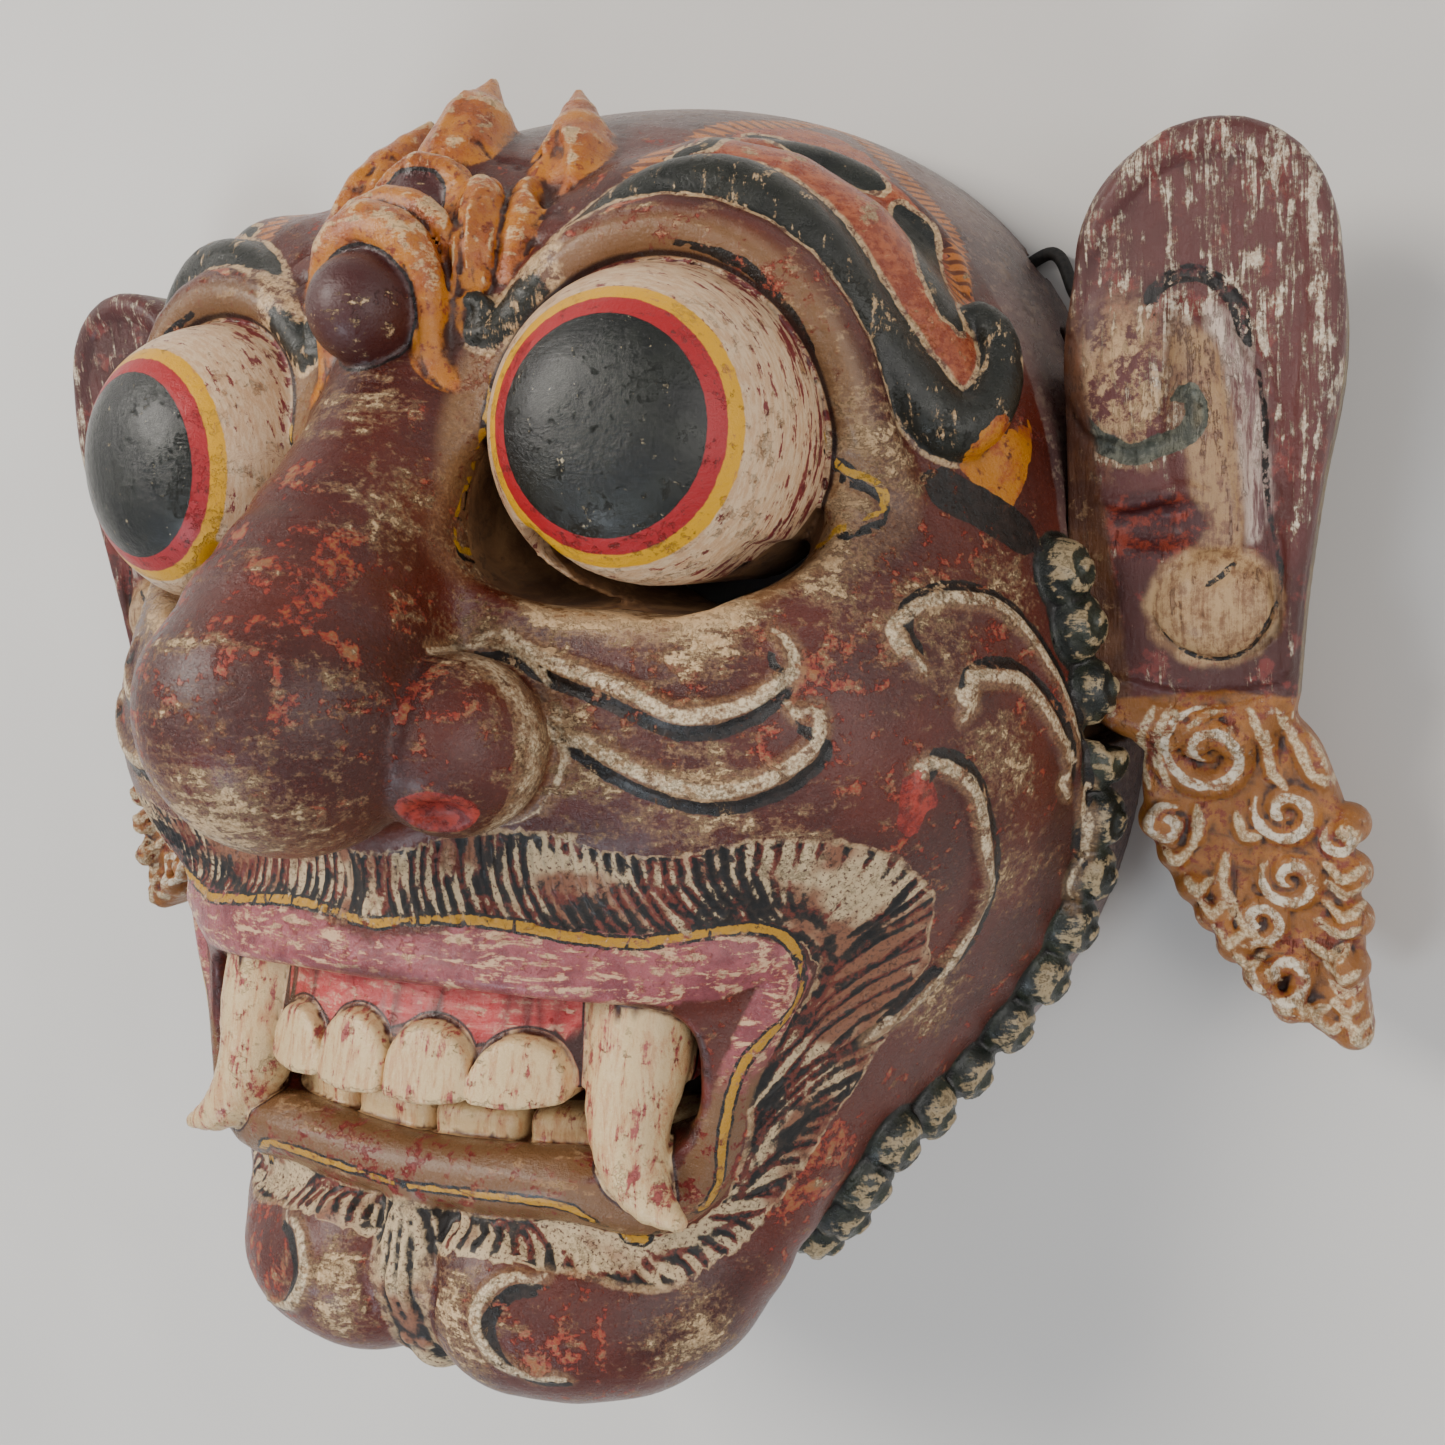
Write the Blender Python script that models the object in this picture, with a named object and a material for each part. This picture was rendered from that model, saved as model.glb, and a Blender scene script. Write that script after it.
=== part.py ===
"""Rakshasa mask: a hollow carved wooden demon face with bulging eyes, a fanged
mouth and two separately carved ears, lying on its rim with the face up.

The face looks along +Z, the crown points along +Y, and X = 0 is the plane of
symmetry. The carving is drawn in pattern units, 300 of them from crown to chin,
and is shared out from MASK_HEIGHT. Walls, gaps, bores and cords are real sizes.
Every form is a signed distance: negative inside the wood, positive outside.
"""
import math
from concurrent.futures import ThreadPoolExecutor

import bpy
import numpy as np

# Sizes, in metres
MASK_HEIGHT = 0.255       # crown to chin
WALL = 0.0095             # thickness of the hollowed wood
SIGHT_SLIT = 0.0050       # height of the slit under each eye
TOOTH_GAP = 0.0048        # open line between the upper and the lower teeth
EAR_THICKNESS = 0.0150    # thickness of an ear's blade
EAR_SEAT_DEPTH = 0.0045   # how deep the flat seat for an ear is cut into the side
EAR_GAP = 0.0003          # clearance between an ear and its seat
THONG_DIAMETER = 0.0026   # black thong laced through each side of the rim
THONG_CLEARANCE = 0.0021  # room round the thong in its hole and its notch
THONG_SPAN = 0.0200       # from the thong's hole to its notch in the rim

# Facets
PATTERN = 300.0           # pattern units from crown to chin
SAMPLE_STEP = 1.25        # pattern units between the samples of a form
MASK_FACES = 7800
EAR_FACES = 750

UNIT = MASK_HEIGHT / PATTERN
CENTRE_Y = 18.0           # pattern units from the drawing's zero to the middle of the mask
BLOCK = 24                # samples along each side of a block that is worked out together
EVERYWHERE = (np.full(3, -1e4), np.full(3, 1e4))


# Curves and blends

def curve(points, count):
    """A smooth curve (Catmull-Rom) of count samples through the points."""
    points = np.asarray(points, float)
    ends = 2 * points[[0, -1]] - points[[1, -2]]
    path = np.vstack([ends[:1], points, ends[1:]])
    spans = len(points) - 1
    samples = []
    for s in np.linspace(0, spans, count):
        i = min(int(s), spans - 1)
        t = s - i
        a, b, c, d = path[i:i + 4]
        samples.append(0.5 * (2 * b + (c - a) * t + (2 * a - 5 * b + 4 * c - d) * t ** 2
                              + (3 * b - a - 3 * c + d) * t ** 3))
    return np.array(samples)


def join(a, b, blend):
    """The union of two distances with a fillet of about blend."""
    if blend <= 0:
        return np.minimum(a, b)
    overlap = np.maximum(blend - np.abs(a - b), 0) / blend
    return np.minimum(a, b) - overlap * overlap * blend * 0.25


def keep(a, b, blend):
    """The part of a that is also in b."""
    return -join(-a, -b, blend)


# Forms: each returns its distance function and the corners of its box

def ellipsoid(centre, radii, turn=None):
    centre, radii = np.array(centre, float), np.array(radii, float)
    turn = np.eye(3) if turn is None else turn

    def distance(p):
        d = turned_offsets(p, centre, turn)
        near = np.sqrt(sum((d[i] / radii[i]) ** 2 for i in range(3)))
        slope = np.sqrt(sum((d[i] / radii[i] ** 2) ** 2 for i in range(3)))
        return near * (near - 1) / np.maximum(slope, 1e-6)

    reach = np.abs(turn) @ radii
    return distance, centre - reach, centre + reach


def block(centre, radii, squareness, turn=None):
    """A rounded block: an ellipsoid at squareness 2, nearer a box as it grows."""
    centre, radii = np.array(centre, float), np.array(radii, float)
    turn = np.eye(3) if turn is None else turn

    def distance(p):
        d = turned_offsets(p, centre, turn)
        q = [np.abs(d[i]) / radii[i] + 1e-6 for i in range(3)]
        size = sum(v ** squareness for v in q) ** (1 / squareness)
        slope = np.sqrt(sum((q[i] ** (squareness - 1) / radii[i]) ** 2 for i in range(3)))
        return (size - 1) / np.maximum(slope * size ** (1 - squareness), 1 / radii.max())

    reach = np.abs(turn) @ radii
    return distance, centre - reach, centre + reach


def turned_offsets(p, centre, turn):
    d = [p[i] - centre[i] for i in range(3)]
    return [sum(turn[j, i] * d[j] for j in range(3)) for i in range(3)]


def barrel(centre, axis, radius, half_length, squareness):
    """A rounded barrel along axis."""
    centre, axis = np.array(centre, float), np.array(axis, float)
    axis = axis / np.linalg.norm(axis)

    def distance(p):
        d = [p[i] - centre[i] for i in range(3)]
        along = sum(d[i] * axis[i] for i in range(3))
        across = np.sqrt(np.maximum(sum(v * v for v in d) - along * along, 0))
        size = (across / radius) ** squareness + (np.abs(along) / half_length) ** squareness
        return (size ** (1 / squareness) - 1) * min(radius, half_length)

    reach = max(radius, half_length)
    return distance, centre - reach, centre + reach


def tube(samples):
    """A round tube along samples of (x, y, z, radius)."""
    samples = np.asarray(samples, float)
    radii = samples[:, 3:]

    def distance(p):
        best = None
        for a, b in zip(samples[:-1], samples[1:]):
            t, d2 = along_segment(p, a, b)
            d = np.sqrt(d2) - (a[3] + t * (b[3] - a[3]))
            best = d if best is None else np.minimum(best, d)
        return best

    return distance, (samples[:, :3] - radii).min(0), (samples[:, :3] + radii).max(0)


def along_segment(p, a, b):
    """Where the nearest point of the segment lies, 0 to 1, and its squared distance."""
    step = b[:3] - a[:3]
    length2 = max(float(step @ step), 1e-9)
    t = sum((p[i] - a[i]) * step[i] for i in range(3)) / length2
    t = np.clip(t, 0, 1)
    return t, sum((p[i] - a[i] - t * step[i]) ** 2 for i in range(3))


def blade(samples, middle, lean, half_thickness, roundness):
    """A flat blade facing +Z that rises by lean along Y, round circles at (x, y, radius)."""
    samples = np.asarray(samples, float)
    flat = np.column_stack([samples[:, :2], np.full(len(samples), middle), samples[:, 2]])
    outline = tube(flat)[0]

    def distance(p):
        side = outline((p[0], p[1], np.full_like(p[0], middle))) + roundness
        face = np.abs(p[2] - middle - lean * p[1]) - half_thickness + roundness
        outside = np.sqrt(np.maximum(side, 0) ** 2 + np.maximum(face, 0) ** 2)
        return outside + np.minimum(np.maximum(side, face), 0) - roundness

    low, high = (flat[:, :2] - flat[:, 3:]).min(0), (flat[:, :2] + flat[:, 3:]).max(0)
    rise = np.array([lean * low[1], lean * high[1]]) + middle
    return distance, np.append(low, rise.min() - half_thickness), np.append(
        high, rise.max() + half_thickness)


def turn_about(axis, degrees):
    c, s = math.cos(math.radians(degrees)), math.sin(math.radians(degrees))
    if axis == "y":
        return np.array([[c, 0, s], [0, 1, 0], [-s, 0, c]])
    return np.array([[c, -s, 0], [s, c, 0], [0, 0, 1]])


class Carving:
    """A list of forms that are added, cut or pressed into the wood in order."""

    def __init__(self):
        self.steps = []

    def add(self, form, blend=1.0):
        self.steps.append(("add", blend) + form)

    def cut(self, form, blend=1.0):
        self.steps.append(("cut", blend) + form)

    def keep(self, form, blend=0.0):
        self.steps.append(("keep", blend) + form)

    def lines(self, routes, half_width, height, count=16, on=None):
        """Raised lines (or grooves, with a negative height) laid on the surface."""
        paths = np.concatenate([curve(route, count)[:, :3] for route in routes])
        paths = (on or self).settle(paths).reshape(-1, count, 3)
        ends = np.linspace(0, 1, count)
        taper = np.minimum(1, 0.35 + 2.2 * np.minimum(ends, 1 - ends))
        for path in paths:
            samples = np.column_stack([path, half_width * taper])
            low, high = path.min(0) - half_width, path.max(0) + half_width
            self.steps.append(("line", 0.0, line_height(samples, height), low, high))

    def distance(self, p, low, high, margin):
        """The distance at points p, which lie in the box from low to high."""
        d = np.full(p[0].shape, 1e3, np.float32)
        for kind, blend, form, form_low, form_high in self.steps:
            reach = margin + blend
            if (form_low > high + reach).any() or (form_high < low - reach).any():
                continue
            if kind == "add":
                d = join(d, form(p), blend)
            elif kind == "cut":
                d = keep(d, -form(p), blend)
            elif kind == "keep":
                d = keep(d, form(p), blend)
            else:
                d = form(p, d)
        return d

    def at(self, points):
        """The distance at a short list of points, mirrored to +X."""
        q = np.asarray(points, float)
        p = (np.abs(q[:, 0]), q[:, 1], q[:, 2])
        return self.distance(p, *EVERYWHERE, 0.0).astype(float)

    def settle(self, points, rounds=6, probe=0.5):
        """Move hand-placed points onto the surface."""
        q = np.array(points, float)[:, :3]
        for _ in range(rounds):
            d = self.at(q)
            slope = np.stack([self.at(q + step) - self.at(q - step)
                              for step in np.eye(3) * probe], 1)
            slope /= np.maximum(np.linalg.norm(slope, axis=1, keepdims=True), 1e-6)
            q = q - slope * np.clip(d, -6, 6)[:, None]
        return q


def line_height(samples, height):
    def press(p, d):
        near = np.abs(d) < 8
        if not near.any():
            return d
        q = [v[near] for v in p]
        best = None
        for a, b in zip(samples[:-1], samples[1:]):
            t, d2 = along_segment(q, a, b)
            share = d2 / np.maximum(a[3] + t * (b[3] - a[3]), 0.1) ** 2
            best = share if best is None else np.minimum(best, share)
        out = d.copy()
        out[near] = d[near] - height * np.clip(1 - best, 0, 1)
        return out

    return press


# The face, in pattern units; the near and the far side are mirror images

EYE_CENTRE = (54.0, 40.0, 90.0)
GAZE = (0.139, 0.0, 0.990)
EYE_RADIUS, EYE_HALF_LENGTH, EYE_SQUARENESS = 33.0, 40.5, 2.6
EAR_ROOT_FRONT = 42.5     # height above the rim of an ear's root
EAR_SEAT_X = 126.5 - EAR_SEAT_DEPTH / UNIT
EAR_LEAN = 0.08           # how much an ear rises towards its top
BEARD_GROOVES = 46

# Tubes and lines: x, y, z and, where there is a fourth number, the radius
LIP = ((0, -60.5, 120, 5.6), (20, -60, 120, 5.6), (40, -61.5, 117, 5.4), (58, -62, 111, 5.4),
       (71, -61, 104, 5.4), (78, -65, 98, 4.6), (74, -76, 101, 4.2), (68.5, -87, 104, 4.2),
       (66, -98, 106, 4.5), (62, -108, 108, 5.5), (52, -112.5, 111, 6.5), (38, -109, 115, 7),
       (18, -110.5, 117, 7), (0, -111.5, 117, 7))
LIP_UPPER_EDGE = ((0, -56.6, 121.8, 3.2), (20, -56.1, 121.6, 3.2), (40, -57.6, 118.4, 3.1),
                  (57, -58.2, 112.6, 3), (69, -58, 105.4, 2.8))
LIP_LOWER_EDGE = ((0, -64.6, 125.6, 2.3), (20, -64.2, 125.2, 2.3), (40, -65.6, 121.2, 2.2),
                  (57, -66, 114.2, 2.1), (67, -66, 107, 2))
FANG = ((50, -74, 105, 11), (50.5, -84, 108.5, 10.4), (50, -94, 112.5, 8.8), (52.5, -102, 116, 7),
        (57.5, -107.5, 118.5, 4.8), (64.5, -110.5, 120, 2))
TEETH_FRONT, TEETH_BOW, TEETH_FLARE = 129.5, 0.0062, 0.30
UPPER_TEETH = ((9.75, 9.65), (29.25, 9.65))     # middle and half width
LOWER_TEETH = ((10.75, 10.5), (32.25, 10.5), (52, 8.5))
CURL_RADIUS = 7.6
LID = ((21, 48, 104, 3.5), (28, 66, 103, 5), (44, 77, 101, 6), (62, 78.5, 98, 6.4),
       (79, 70, 94, 6.6), (89, 55, 90, 6.4), (93, 40, 86, 6), (98, 27, 80, 3.5))
BROW = ((24, 60.5, 108, 3), (33, 70, 103.5, 4.4), (41, 77.5, 99, 5.4), (49, 83, 95.8, 6.2),
        (58, 86, 93.5, 6.8), (68, 85.5, 90.5, 7.2), (77, 80, 87.5, 7.6), (84, 71.5, 84.5, 7.8),
        (89, 62, 81.5, 7.8), (94, 53, 77.8, 7.6), (100, 44.5, 74, 7.2), (105, 40, 71, 6.6),
        (110, 41.5, 67, 5.8), (112.5, 49, 62, 5), (111.5, 58, 59, 4), (107, 62.5, 59, 3.2),
        (104, 58.5, 62, 2.6))
BROW_CURL = ((20.5, 65.5, 109), 4.4, 2.4)     # middle, radius of the spiral, radius of the band
BORDER = ((43, 91, 96), (52, 100, 84), (63, 106, 72), (75, 106, 62), (86, 100, 56),
          (95, 89, 52), (101, 77, 50), (103, 69, 52))
OUTER_COLLAR = ((0, 90.5, 109, 2.8), (9, 87.5, 109.5, 2.8), (16, 79, 108.5, 2.6),
                (16, 68, 109.5, 2.4), (16.5, 58, 109, 2.4), (21, 52.5, 106.5, 2.6),
                (27.5, 53, 102.5, 2.2))
COLLAR = ((0, 83.5, 115, 5.8), (8, 80, 115, 5.4), (12, 71, 113.5, 4.4), (12, 61, 113, 4),
          (13.5, 53, 112, 4.2), (18.5, 48.5, 108, 4.6), (23, 51, 105, 3.6))
UPPER_COLLAR = ((0, 98, 98, 4.2), (7.5, 95.5, 97, 4), (11, 89, 99, 3.6), (11, 82, 104, 2.8))
JAW_CURLS = ((119, 10, 48), (122, -2, 46), (124, -17, 41), (125, -33, 36), (124.5, -48, 32),
             (122, -62, 30), (117, -76, 30), (109, -89, 32), (99, -100, 36), (89, -107, 46),
             (81, -108, 60), (79, -118, 66), (76, -130, 64), (70, -142, 60))
CHEEK_ARC = ((104, -6, 90), (101, 0, 92), (103, 5, 88), (108, 6, 78), (114, 2, 68),
             (118, -7, 60), (121, -18, 52), (122, -31, 45), (121, -48, 37), (116, -63, 33))
INNER_ARC = ((110, -15, 84), (111, -10, 80), (116, -10, 70), (119, -17, 61), (121, -26, 53),
             (121, -36, 47))
SWIRL = ((104, -31, 93), (107, -24, 92), (111, -29, 83), (111, -40, 76), (108, -52, 69),
         (101, -66, 66), (94, -76, 70), (88, -83, 79))
NOSE_FOLD = ((27, 2, 124), (34, 2, 122), (42, -2, 121), (50, -5, 120), (59, -8, 120),
             (67, -12, 118), (75, -12, 116), (82, -9, 112), (85, -4, 108), (82, 1, 108))
CHEEK_FOLD = ((42, -11, 123), (47, -15, 122), (56, -20, 122), (65, -24, 120), (74, -26, 117),
              (83, -24, 113), (90, -19, 109), (91, -14, 108), (87, -11, 110))
LOBE_ARC = ((40, -147, 128), (31, -145, 134), (25, -139, 136), (23, -132, 134),
            (27, -126, 130), (35, -124, 126))

BAND_INNER = ((0, -55.5, 126), (14, -54.5, 126), (27, -53.5, 124), (42, -55.5, 120),
              (54, -56.5, 116), (66, -55.5, 112), (77, -55.5, 104), (83, -59.5, 96),
              (84, -66, 93), (80, -74, 94), (75, -82, 99), (72.5, -90, 103), (72, -98, 103),
              (70, -106, 104), (66, -113, 106), (59, -119, 109), (50, -120.5, 113),
              (41, -117.5, 118), (31, -116.5, 119), (16, -118.5, 119), (0, -119, 119))
BAND_OUTER = ((0, -41.5, 128), (15, -38, 128), (29, -35, 124), (42, -35.5, 121),
              (54, -38.5, 119), (66, -39, 116), (78, -36, 113), (90, -36.5, 106),
              (100, -41, 95), (104, -51, 86), (102, -62, 80), (97, -74, 77), (91, -85, 79),
              (86, -95, 85), (80, -105, 92), (74, -116, 98), (66, -125, 105), (56, -130, 112),
              (43, -127, 119), (20, -124, 121), (0, -128, 119))


def head_shape():
    """The smooth head that everything is carved on."""
    head = Carving()
    head.add(block((0, 3, -4), (123, 122.5, 119), 2.5), 0)
    head.add(ellipsoid((0, -22, -4), (127, 133, 126)), 26)
    head.add(ellipsoid((58, -22, 62), (55, 46, 56)), 22)
    head.add(ellipsoid((0, -76, 40), (84, 78, 84)), 26)
    head.add(ellipsoid((36, -98, 62), (46, 48, 58)), 24)
    return head


def mask_shape():
    head = head_shape()
    mask = head_shape()
    carve_chin(mask)
    mask.add(ellipsoid((0, 72, 68), (26, 32, 36)), 16)
    carve_eyes(mask)
    carve_nose(mask)
    carve_mouth(mask)
    carve_brow(mask, head)
    carve_crest(mask)
    carve_cheeks(mask)
    carve_beard(mask, BEARD_GROOVES)
    carve_jaw_curls(mask, head)
    hollow_out(mask)
    carve_teeth(mask)
    seat_the_ears(mask)
    pierce_for_thongs(mask)
    mask.keep((lambda p: -p[2],) + EVERYWHERE)
    return mask


def carve_chin(mask):
    """Two comma-shaped lobes whose tails sweep up along the jaw."""
    lobe = ((20, -137, 108, 22), (40, -138, 100, 20), (58, -128, 88, 16), (73, -112, 82, 9))
    mask.add(tube(curve(lobe, 7)), 6)
    mask.add(ellipsoid((30, -142, 86), (34, 20, 40)), 10)
    mask.add(tube(((0, -118, 115, 9), (0, -134, 119, 9.5), (0, -151, 113, 8))), 3)
    mask.lines([LOBE_ARC], 2.6, 1.6)


def carve_eyes(mask):
    """A deep socket, the swelling of the brow over it, a thick upper lid and the eyeball."""
    mask.cut(socket(0.0), 4)
    swelling = ((20, 58, 96, 9), (34, 76, 88, 12), (58, 86, 78, 14), (82, 74, 72, 14),
                (98, 50, 64, 11))
    mask.add(tube(curve(swelling, 9)), 9)
    mask.add(tube(curve(LID, 16)), 3)
    mask.add(barrel(EYE_CENTRE, GAZE, EYE_RADIUS, EYE_HALF_LENGTH, EYE_SQUARENESS), 0.8)


def socket(wall):
    """The almond hollow under an eyeball, with wall of wood left round it."""
    return block((55, 27, 112), np.array([39.5, 20, 34]) + wall, 2.4)


def carve_nose(mask):
    ridge = ((0, 62, 98, 14), (0, 42, 111, 16), (0, 16, 130, 21), (0, -9, 145, 28.5))
    mask.add(tube(curve(ridge, 9)), 12)
    mask.add(ellipsoid((28, -17, 133), (17.5, 17.5, 17.5)), 2.5)
    mask.cut(ellipsoid((34, -29, 150), (9, 4.5, 9)), 1.5)


def carve_mouth(mask):
    mask.cut(block((0, -86, 128), (70, 21, 30), 3.2), 3)
    for form, blend in lip_forms():
        mask.add(form, blend)


def lip_forms():
    """A round lip that is broad and flat in its upper half."""
    return ((tube(curve(LIP, 34)), 2.2), (tube(curve(LIP_UPPER_EDGE, 9)), 5),
            (tube(curve(LIP_LOWER_EDGE, 9)), 6))


def carve_brow(mask, head):
    """The black brow band, curled at both ends, inside a raised flame border."""
    mask.add(tube(curve(BROW, 44)), 1.5)
    mask.add(brow_curl(), 0.8)
    mask.lines([BORDER], 4.5, 2.6, on=head)
    mask.add(ellipsoid((106, 34, 52), (10, 13, 12)), 2)


def brow_curl():
    """The tight spiral in which the brow ends beside the forehead boss."""
    (x, y, z), spread, thick = BROW_CURL
    turns = np.linspace(0, 1, 14)
    angle = np.radians(-50 - 400 * turns)
    radius = spread * (1 - 0.72 * turns)
    return tube(np.column_stack([x + radius * np.cos(angle), y + radius * np.sin(angle),
                                 np.full(14, z), thick * (1 - 0.3 * turns)]))


def boss_forms():
    """The big round boss of the forehead and the flatter one over it."""
    return ((ellipsoid((0, 67.5, 118.5), (11, 11, 11)), 0.8),
            (ellipsoid((0, 91, 97), (8.6, 7, 7.5)), 0.6))


def crest_forms():
    """Collars round the bosses, petals beside them, and a leaf over each and in the middle."""
    leaf = ((27, 83, 87, 5.5), (27.5, 94, 82, 9), (25.5, 105, 75.5, 7), (20.5, 118, 67, 1.3))
    return ((tube(curve(COLLAR, 18)), 1), (tube(curve(OUTER_COLLAR, 18)), 1),
            (tube(curve(UPPER_COLLAR, 9)), 0.8),
            (tube(((0, 101, 83, 10.5), (0, 111, 77, 8.4), (0, 123, 70, 1.4))), 3),
            (tube(curve(leaf, 7)), 2.5),
            (tube(curve(((19.5, 72, 107, 3), (18.5, 82, 105, 4.6), (16, 91, 98, 4.4)), 6)), 1.2),
            (tube(curve(((25, 73, 103, 2.8), (25, 82, 98.5, 4.4), (23.5, 91, 91, 4.4)), 6)), 1.2))


def carve_crest(mask):
    for form, blend in boss_forms() + crest_forms():
        mask.add(form, blend)


def carve_cheeks(mask):
    """Curling folds beside the nose and on the outside of each cheek."""
    mask.lines([NOSE_FOLD, CHEEK_FOLD], 3.0, 1.8)
    mask.lines([CHEEK_ARC, INNER_ARC, SWIRL], 3.2, 2.0)


def carve_beard(mask, count):
    """Short locks all round the lips, parted by grooves that sweep back at the corners."""
    inner = curve(BAND_INNER, 20 * count)
    outer = curve(BAND_OUTER, 20 * count)
    last = len(inner) - 1
    grooves = []
    for place in (np.arange(count) + 0.5) / count:
        sweep = 0.035 * math.sin(math.pi * min(1.0, place * 1.3))
        start = inner[int(place * last)]
        end = outer[int(max(0.0, place - sweep) * last)]
        middle = 0.5 * (start + end) + 0.10 * np.array([start[1] - end[1], end[0] - start[0], 0])
        grooves.append((start, middle, end))
    mask.lines(grooves, 1.5, -2.1, count=5)


def carve_jaw_curls(mask, head):
    """A row of round curls from the temple down to the chin."""
    for centre in head.settle(curve(JAW_CURLS, 15)):
        mask.add(ellipsoid(centre, (CURL_RADIUS,) * 3), 1.0)


def hollow_out(mask):
    """The hollow behind the face, the open mouth and the sight slits under the eyes."""
    wall = WALL / UNIT
    inside = Carving()
    inside.add(block((0, 3, -4), (123, 122.5, 119), 2.5), 0)
    inside.add(ellipsoid((0, -22, -4), (127, 133, 126)), 26)
    inside.add(ellipsoid((0, -76, 36), (80, 72, 80)), 26)
    round_sockets = socket(wall)[0]

    def hollow(p):
        d = inside.distance(p, *EVERYWHERE, 0.0) + wall
        return keep(d, -round_sockets(p), 6.0)

    mask.cut((hollow,) + EVERYWHERE, 2.0)
    mask.cut(block((0, -85, 90), (64, 17, 40), 4.0), 3)
    mask.cut(sight_slit(), 1.0)


def sight_slit():
    """A crescent hole between the eyeball and the lower edge of the socket."""
    route = curve(((40, 20), (48, 12.5), (59, 8.5), (70, 9.5), (79, 16)), 9)
    outline = np.column_stack([route, np.full(9, 85.0), np.full(9, 0.5 * SIGHT_SLIT / UNIT)])
    flat = tube(outline)[0]

    def distance(p):
        across = flat((p[0], p[1], np.full_like(p[0], 85.0)))
        return np.maximum(across, np.abs(p[2] - 85.0) - 45.0)

    return distance, np.array([34.0, 2.0, 40.0]), np.array([86.0, 26.0, 130.0])


def teeth_face(p):
    """How far a point stands out from the bowed front of the upper teeth."""
    flare = TEETH_FLARE * np.maximum(p[1] + 92.0, 0)
    return p[2] - (TEETH_FRONT - TEETH_BOW * p[0] * p[0] - flare)


def upper_tooth(middle, half_width):
    """A flat tile with a round top that flares forward to its lower edge."""
    def distance(p):
        across = (p[0] - middle) / half_width
        side = np.hypot(p[0] - middle, np.maximum(p[1] + 79.5, 0)) - half_width
        face = teeth_face(p) - 1.6 * (1 - across * across)
        shape = keep(keep(side, face, 2.6), -92.0 - p[1], 2.6)
        return np.maximum(shape, -16.0 - face)

    reach = half_width + 1
    return (distance, np.array([middle - reach, -93.0, 92.0]),
            np.array([middle + reach, -68.0, TEETH_FRONT + 3]))


def gum_form():
    """The hollowed gum between the lip and the upper teeth."""
    def distance(p):
        level = np.abs(p[1] + 74.0) - 12.0
        face = teeth_face(p) + 3.4
        return np.maximum(np.maximum(level, p[0] - 60.0), np.maximum(face, -19.0 - face))

    return distance, np.array([-1.0, -86.0, 74.0]), np.array([60.0, -62.0, TEETH_FRONT])


def tooth_forms():
    """The upper teeth, the lower ones and the wide root of the fang."""
    forms = [upper_tooth(middle, half) for middle, half in UPPER_TEETH]
    top = -92.0 - TOOTH_GAP / UNIT
    for middle, half in LOWER_TEETH:
        front = 106.5 - 0.0046 * middle * middle
        turn = turn_about("y", 0.55 * middle)
        forms.append(block((middle, top - 6.5, front), (half, 6.5, 8), 5.0, turn))
    return forms


def carve_teeth(mask):
    """Gums and upper teeth behind the upper lip, lower teeth, and a long fang each side."""
    mask.add(gum_form(), 1.5)
    mask.add(tube(((0, -72, 104, 9), (26, -72, 101, 9), (50, -72, 92, 9))), 2)
    for form in tooth_forms():
        mask.add(form, 0.5)
    mask.add(tube(curve(FANG, 12)), 0.8)


def seat_the_ears(mask):
    """A flat seat on each side of the head for an ear's root."""
    def distance(p):
        side = EAR_SEAT_X - p[0]
        ends = np.abs(p[1] - 18.0) - 46.0
        return np.maximum(np.maximum(side, ends), p[2] - EAR_ROOT_FRONT)

    mask.cut((distance, np.array([110.0, -30.0, -10.0]), np.array([140.0, 66.0, 50.0])))


def ear_shape():
    """An ear's blade with its root, and the pendant that hangs from its lobe."""
    half = 0.5 * EAR_THICKNESS / UNIT
    ear = Carving()
    outline = ((148.5, 72, 25), (149, 52, 26), (149, 30, 22.5), (151, 6, 17.5), (152, -14, 15))
    ear.add(blade(curve(outline, 25), 33.0, EAR_LEAN, half, 5.0), 0)
    root = ((127, 42, 15), (130, 18, 15), (137, -12, 14))
    ear.add(blade(curve(root, 9), 22.0, 0.02, 20.0, 5.0), 7)
    pendant = ((154, -36, 19), (158, -48, 19), (165, -64, 14.5), (171, -77, 9.5), (178, -88.5, 4.2))
    ear.add(blade(curve(pendant, 17), 30.0, EAR_LEAN, 0.85 * half, 4.0), 3)
    gap = EAR_GAP / UNIT

    def beyond_seat(p):
        return EAR_SEAT_X + gap - p[0]

    ear.keep((beyond_seat,) + EVERYWHERE)
    ear.keep((lambda p: -p[2],) + EVERYWHERE)
    return ear


def pierce_for_thongs(mask):
    """A hole through the wall over each temple and a notch in the rim beyond it."""
    radius = (0.5 * THONG_DIAMETER + THONG_CLEARANCE) / UNIT
    for place, out in thong_places():
        inner = place - out * 2 * WALL / UNIT
        mask.cut(tube((np.append(inner, radius), np.append(place + out * 8, radius))), 0.5)


def thong_places():
    """Where the hole and the notch meet the outside of the head, and the way out there."""
    head = head_shape()
    hole = np.array([112.0, 60.0, 14.0])
    notch = hole + np.array([-0.32, 0.92, 0.0]) * THONG_SPAN / UNIT
    notch[2] = 0.5 * THONG_DIAMETER / UNIT + 0.9
    places = head.settle([hole, notch])
    places[:, 2] = hole[2], notch[2]
    ways = []
    for place in places:
        probe = np.eye(3) * 0.5
        slope = np.array([head.at([place + s])[0] - head.at([place - s])[0] for s in probe])
        slope[2] = 0
        ways.append((place, slope / np.linalg.norm(slope)))
    return ways


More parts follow.
